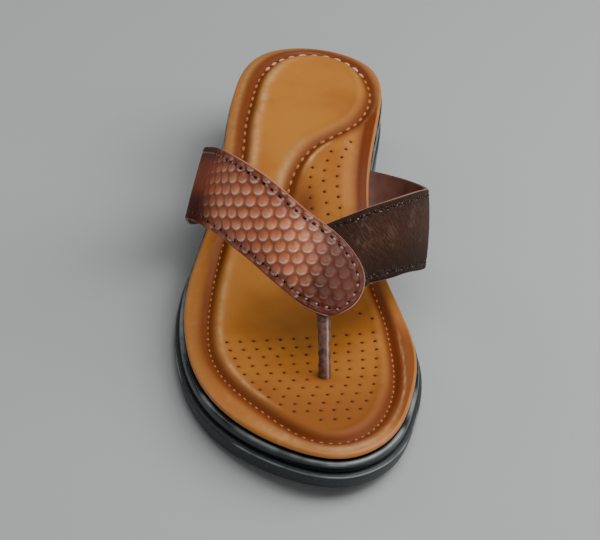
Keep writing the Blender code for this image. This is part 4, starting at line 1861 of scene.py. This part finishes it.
@dataclass
class ToePost:
    """Leather-wrapped post with its closing seam near the front."""

    rows: int = 90
    sides: int = 48
    seam_half: float = 0.20  # radians
    seam_turn: float = 0.45  # radians, from the front towards the inner side
    seam_height: float = 0.45
    fold_height: float = 0.10
    fold_rate: float = 1.1
    fold_twist: float = 2.0

    def build(self, leather: Material) -> None:
        """Make the post and hand it to the frame.

        Args:
            leather: its finish.
        """
        table = np.array(TOE_POST)
        knots = chord_lengths(table[:, :3])
        steps = np.linspace(0.0, knots[-1], self.rows)
        fine = natural_spline(knots, table, steps)
        spine, widths, depths = fine[:, :3], fine[:, 3], fine[:, 4]
        across = np.array((1.0, 0.0, 0.0))
        front = unit(np.cross(across, unit(np.gradient(spine, axis=0))))
        front *= -np.sign(front[:, 1:2])
        turn = np.linspace(0.0, 2 * math.pi, self.sides, endpoint=False)
        from_seam = np.angle(np.exp(1j * (turn - math.pi / 2 + self.seam_turn)))
        seam = bell(from_seam, self.seam_half)
        points, flats = [], []
        for k in range(self.rows):
            fold = np.sin(steps[k] * self.fold_rate + self.fold_twist * np.sin(turn))
            swell = self.seam_height * seam + self.fold_height * fold
            points.append(spine[k] + np.outer((widths[k] / 2 + swell) * np.cos(turn), across)
                          + np.outer((depths[k] / 2 + swell) * np.sin(turn), front[k]))
            flats.append(np.column_stack((turn * widths[k] / 2, steps[k] + 0 * turn)))
        faces = ring_faces(self.rows, self.sides)
        faces.append(tuple(range(self.sides))[::-1])
        faces.append(tuple((self.rows - 1) * self.sides + i for i in range(self.sides)))
        # painted highlight along the seam
        shape = Shape(np.concatenate(points), faces, {"rub": np.tile(seam, self.rows)},
                      np.concatenate(flats))
        shape.piece("toe_post_leather", leather, Slot.POST, "toe_post")


# ---- studio -------------------------------------------------------------------
@dataclass
class Studio:
    """Camera, floor and soft lights."""

    camera_at: Place = (-105.57, -1096.06, 729.38)
    image_up: Place = (-0.06115, 0.58326, 0.80998)
    aim: Place = (-4.0, -99.0, 18.0)
    lens: float = 172.0
    floor_size: float = 6000.0
    reach: float = 20000.0
    sky: tuple[float, float, float, float] = (0.92, 0.96, 1.0, 1.0)
    sky_strength: float = 0.17
    lights: tuple = (
        # name, position, size, watts
        ("side", (600.0, 20.0, 680.0), 800.0, 6.6),
        ("overhead", (120.0, -240.0, 1200.0), 900.0, 5.4),
        ("outer", (-700.0, 300.0, 620.0), 420.0, 0.8),
        ("front", (260.0, -1200.0, 300.0), 700.0, 3.2),
    )

    def build(self) -> None:
        """Make everything round the object."""
        self._camera()
        self._floor()
        for light in self.lights:
            self._light(*light)
        self._sky()

    def _camera(self) -> None:
        """Camera at its place, turned to the shoe and rolled."""
        data = bpy.data.cameras.new("camera")
        data.lens = self.lens
        data.clip_end = self.reach * MM
        made = show("camera", data)
        spot = Vector(self.camera_at)
        back = (spot - Vector(self.aim)).normalized()
        right = Vector(self.image_up).cross(back).normalized()
        up = back.cross(right)
        turned = Matrix((right, up, back)).transposed().to_4x4()
        made.matrix_world = Matrix.Translation(spot * MM) @ turned
        bpy.context.scene.camera = made

    def _floor(self) -> None:
        """Wide plain floor."""
        half = self.floor_size / 2 * MM
        mesh = bpy.data.meshes.new("floor")
        mesh.from_pydata([(-half, -half, 0), (half, -half, 0), (half, half, 0),
                          (-half, half, 0)], [], [(0, 1, 2, 3)])
        mesh.materials.append(PlainFloor().material())
        show("floor", mesh)

    def _light(self, name: str, spot: Place, size: float, watts: float) -> None:
        """Soft box turned to the shoe.

        Args:
            name: name of the light.
            spot: its position.
            size: its side.
            watts: its power.
        """
        data = bpy.data.lights.new(name, "AREA")
        data.size, data.energy = size * MM, watts
        made = show(name, data)
        made.location = Vector(spot) * MM
        aim = Vector(self.aim) - Vector(spot)
        made.rotation_euler = aim.to_track_quat("-Z", "Y").to_euler()

    def _sky(self) -> None:
        """Even light from all round."""
        sky = bpy.data.worlds.new("sky")
        sky.use_nodes = True
        shade = sky.node_tree.nodes["Background"]
        shade.inputs["Color"].default_value = self.sky
        shade.inputs["Strength"].default_value = self.sky_strength
        bpy.context.scene.world = sky


def build_straps(dark_thread: Material) -> None:
    """Both straps, the outer one over the inner one.

    Args:
        dark_thread: finish of their stitches.
    """
    over = StrapSheet(root_rows(Side.OUTER, *OUTER_STRAP_ROOT)
                      + table_rows(OUTER_STRAP, Side.OUTER), Side.OUTER)
    rows = root_rows(Side.INNER, *INNER_STRAP_ROOT) + table_rows(INNER_STRAP, Side.INNER)
    share = np.linspace(0.0, 1.0, STRAP_COLUMNS)
    for rear_length, front_length, rear_width, front_width in UNDERLAP:
        lengths = part_way(rear_length, front_length, share)
        widths = part_way(rear_width, front_width, share)
        rows.append(np.array([over.below(length, width, UNDERLAP_DROP)
                              for length, width in zip(lengths, widths)]))
    under = StrapSheet(rows, Side.INNER)
    brown = LiningLeather("dark_lining", (0.060, 0.026, 0.018), (0.034, 0.014, 0.010))
    red = LiningLeather("red_lining", (0.150, 0.046, 0.027), (0.085, 0.024, 0.015))
    puckered = Thread("puckered_leather", (0.50, 0.26, 0.21), 0.30).material()
    Strap("outer_strap", over, rows=430, columns=96, stitch_inset=3.0, stitch_pitch=4.6,
          stitch=(1.9, 1.4, 0.6), scales=Scales()).build(
        ScaleLeather().material(), brown.material(), dark_thread, puckered, "upper")
    Strap("inner_strap", under, rows=300, columns=80, stitch_inset=2.8,
          stitch_pitch=3.3, stitch=(2.1, 1.1, 0.7)).build(
        GrainLeather().material(), red.material(), dark_thread)


def main() -> None:
    """Build the sandal and the studio."""
    logging.basicConfig(level=logging.INFO, format="%(name)s: %(message)s")
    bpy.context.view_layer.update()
    tan_thread = Thread("tan_thread", (0.62, 0.24, 0.07), 0.35).material()
    dark_thread = Thread("dark_thread", (0.022, 0.010, 0.008), 0.45).material()
    # paler copy of the tan thread, as painted highlight on the stitches round the heel
    highlight_thread = Thread("highlight_thread", (0.95, 0.56, 0.42), 0.20).material()
    # dark forms in the holes, as painted shade
    hole = Thread("hole_shade", (0.11, 0.033, 0.010), 0.9).material()
    OUTSOLE_BAND.build()
    MIDSOLE_BAND.build()
    Footbed().build(TanLeather().material(), tan_thread, highlight_thread, hole)
    build_straps(dark_thread)
    ToePost().build(PostLeather().material())
    Studio().build()


if __name__ == "__main__":
    main()
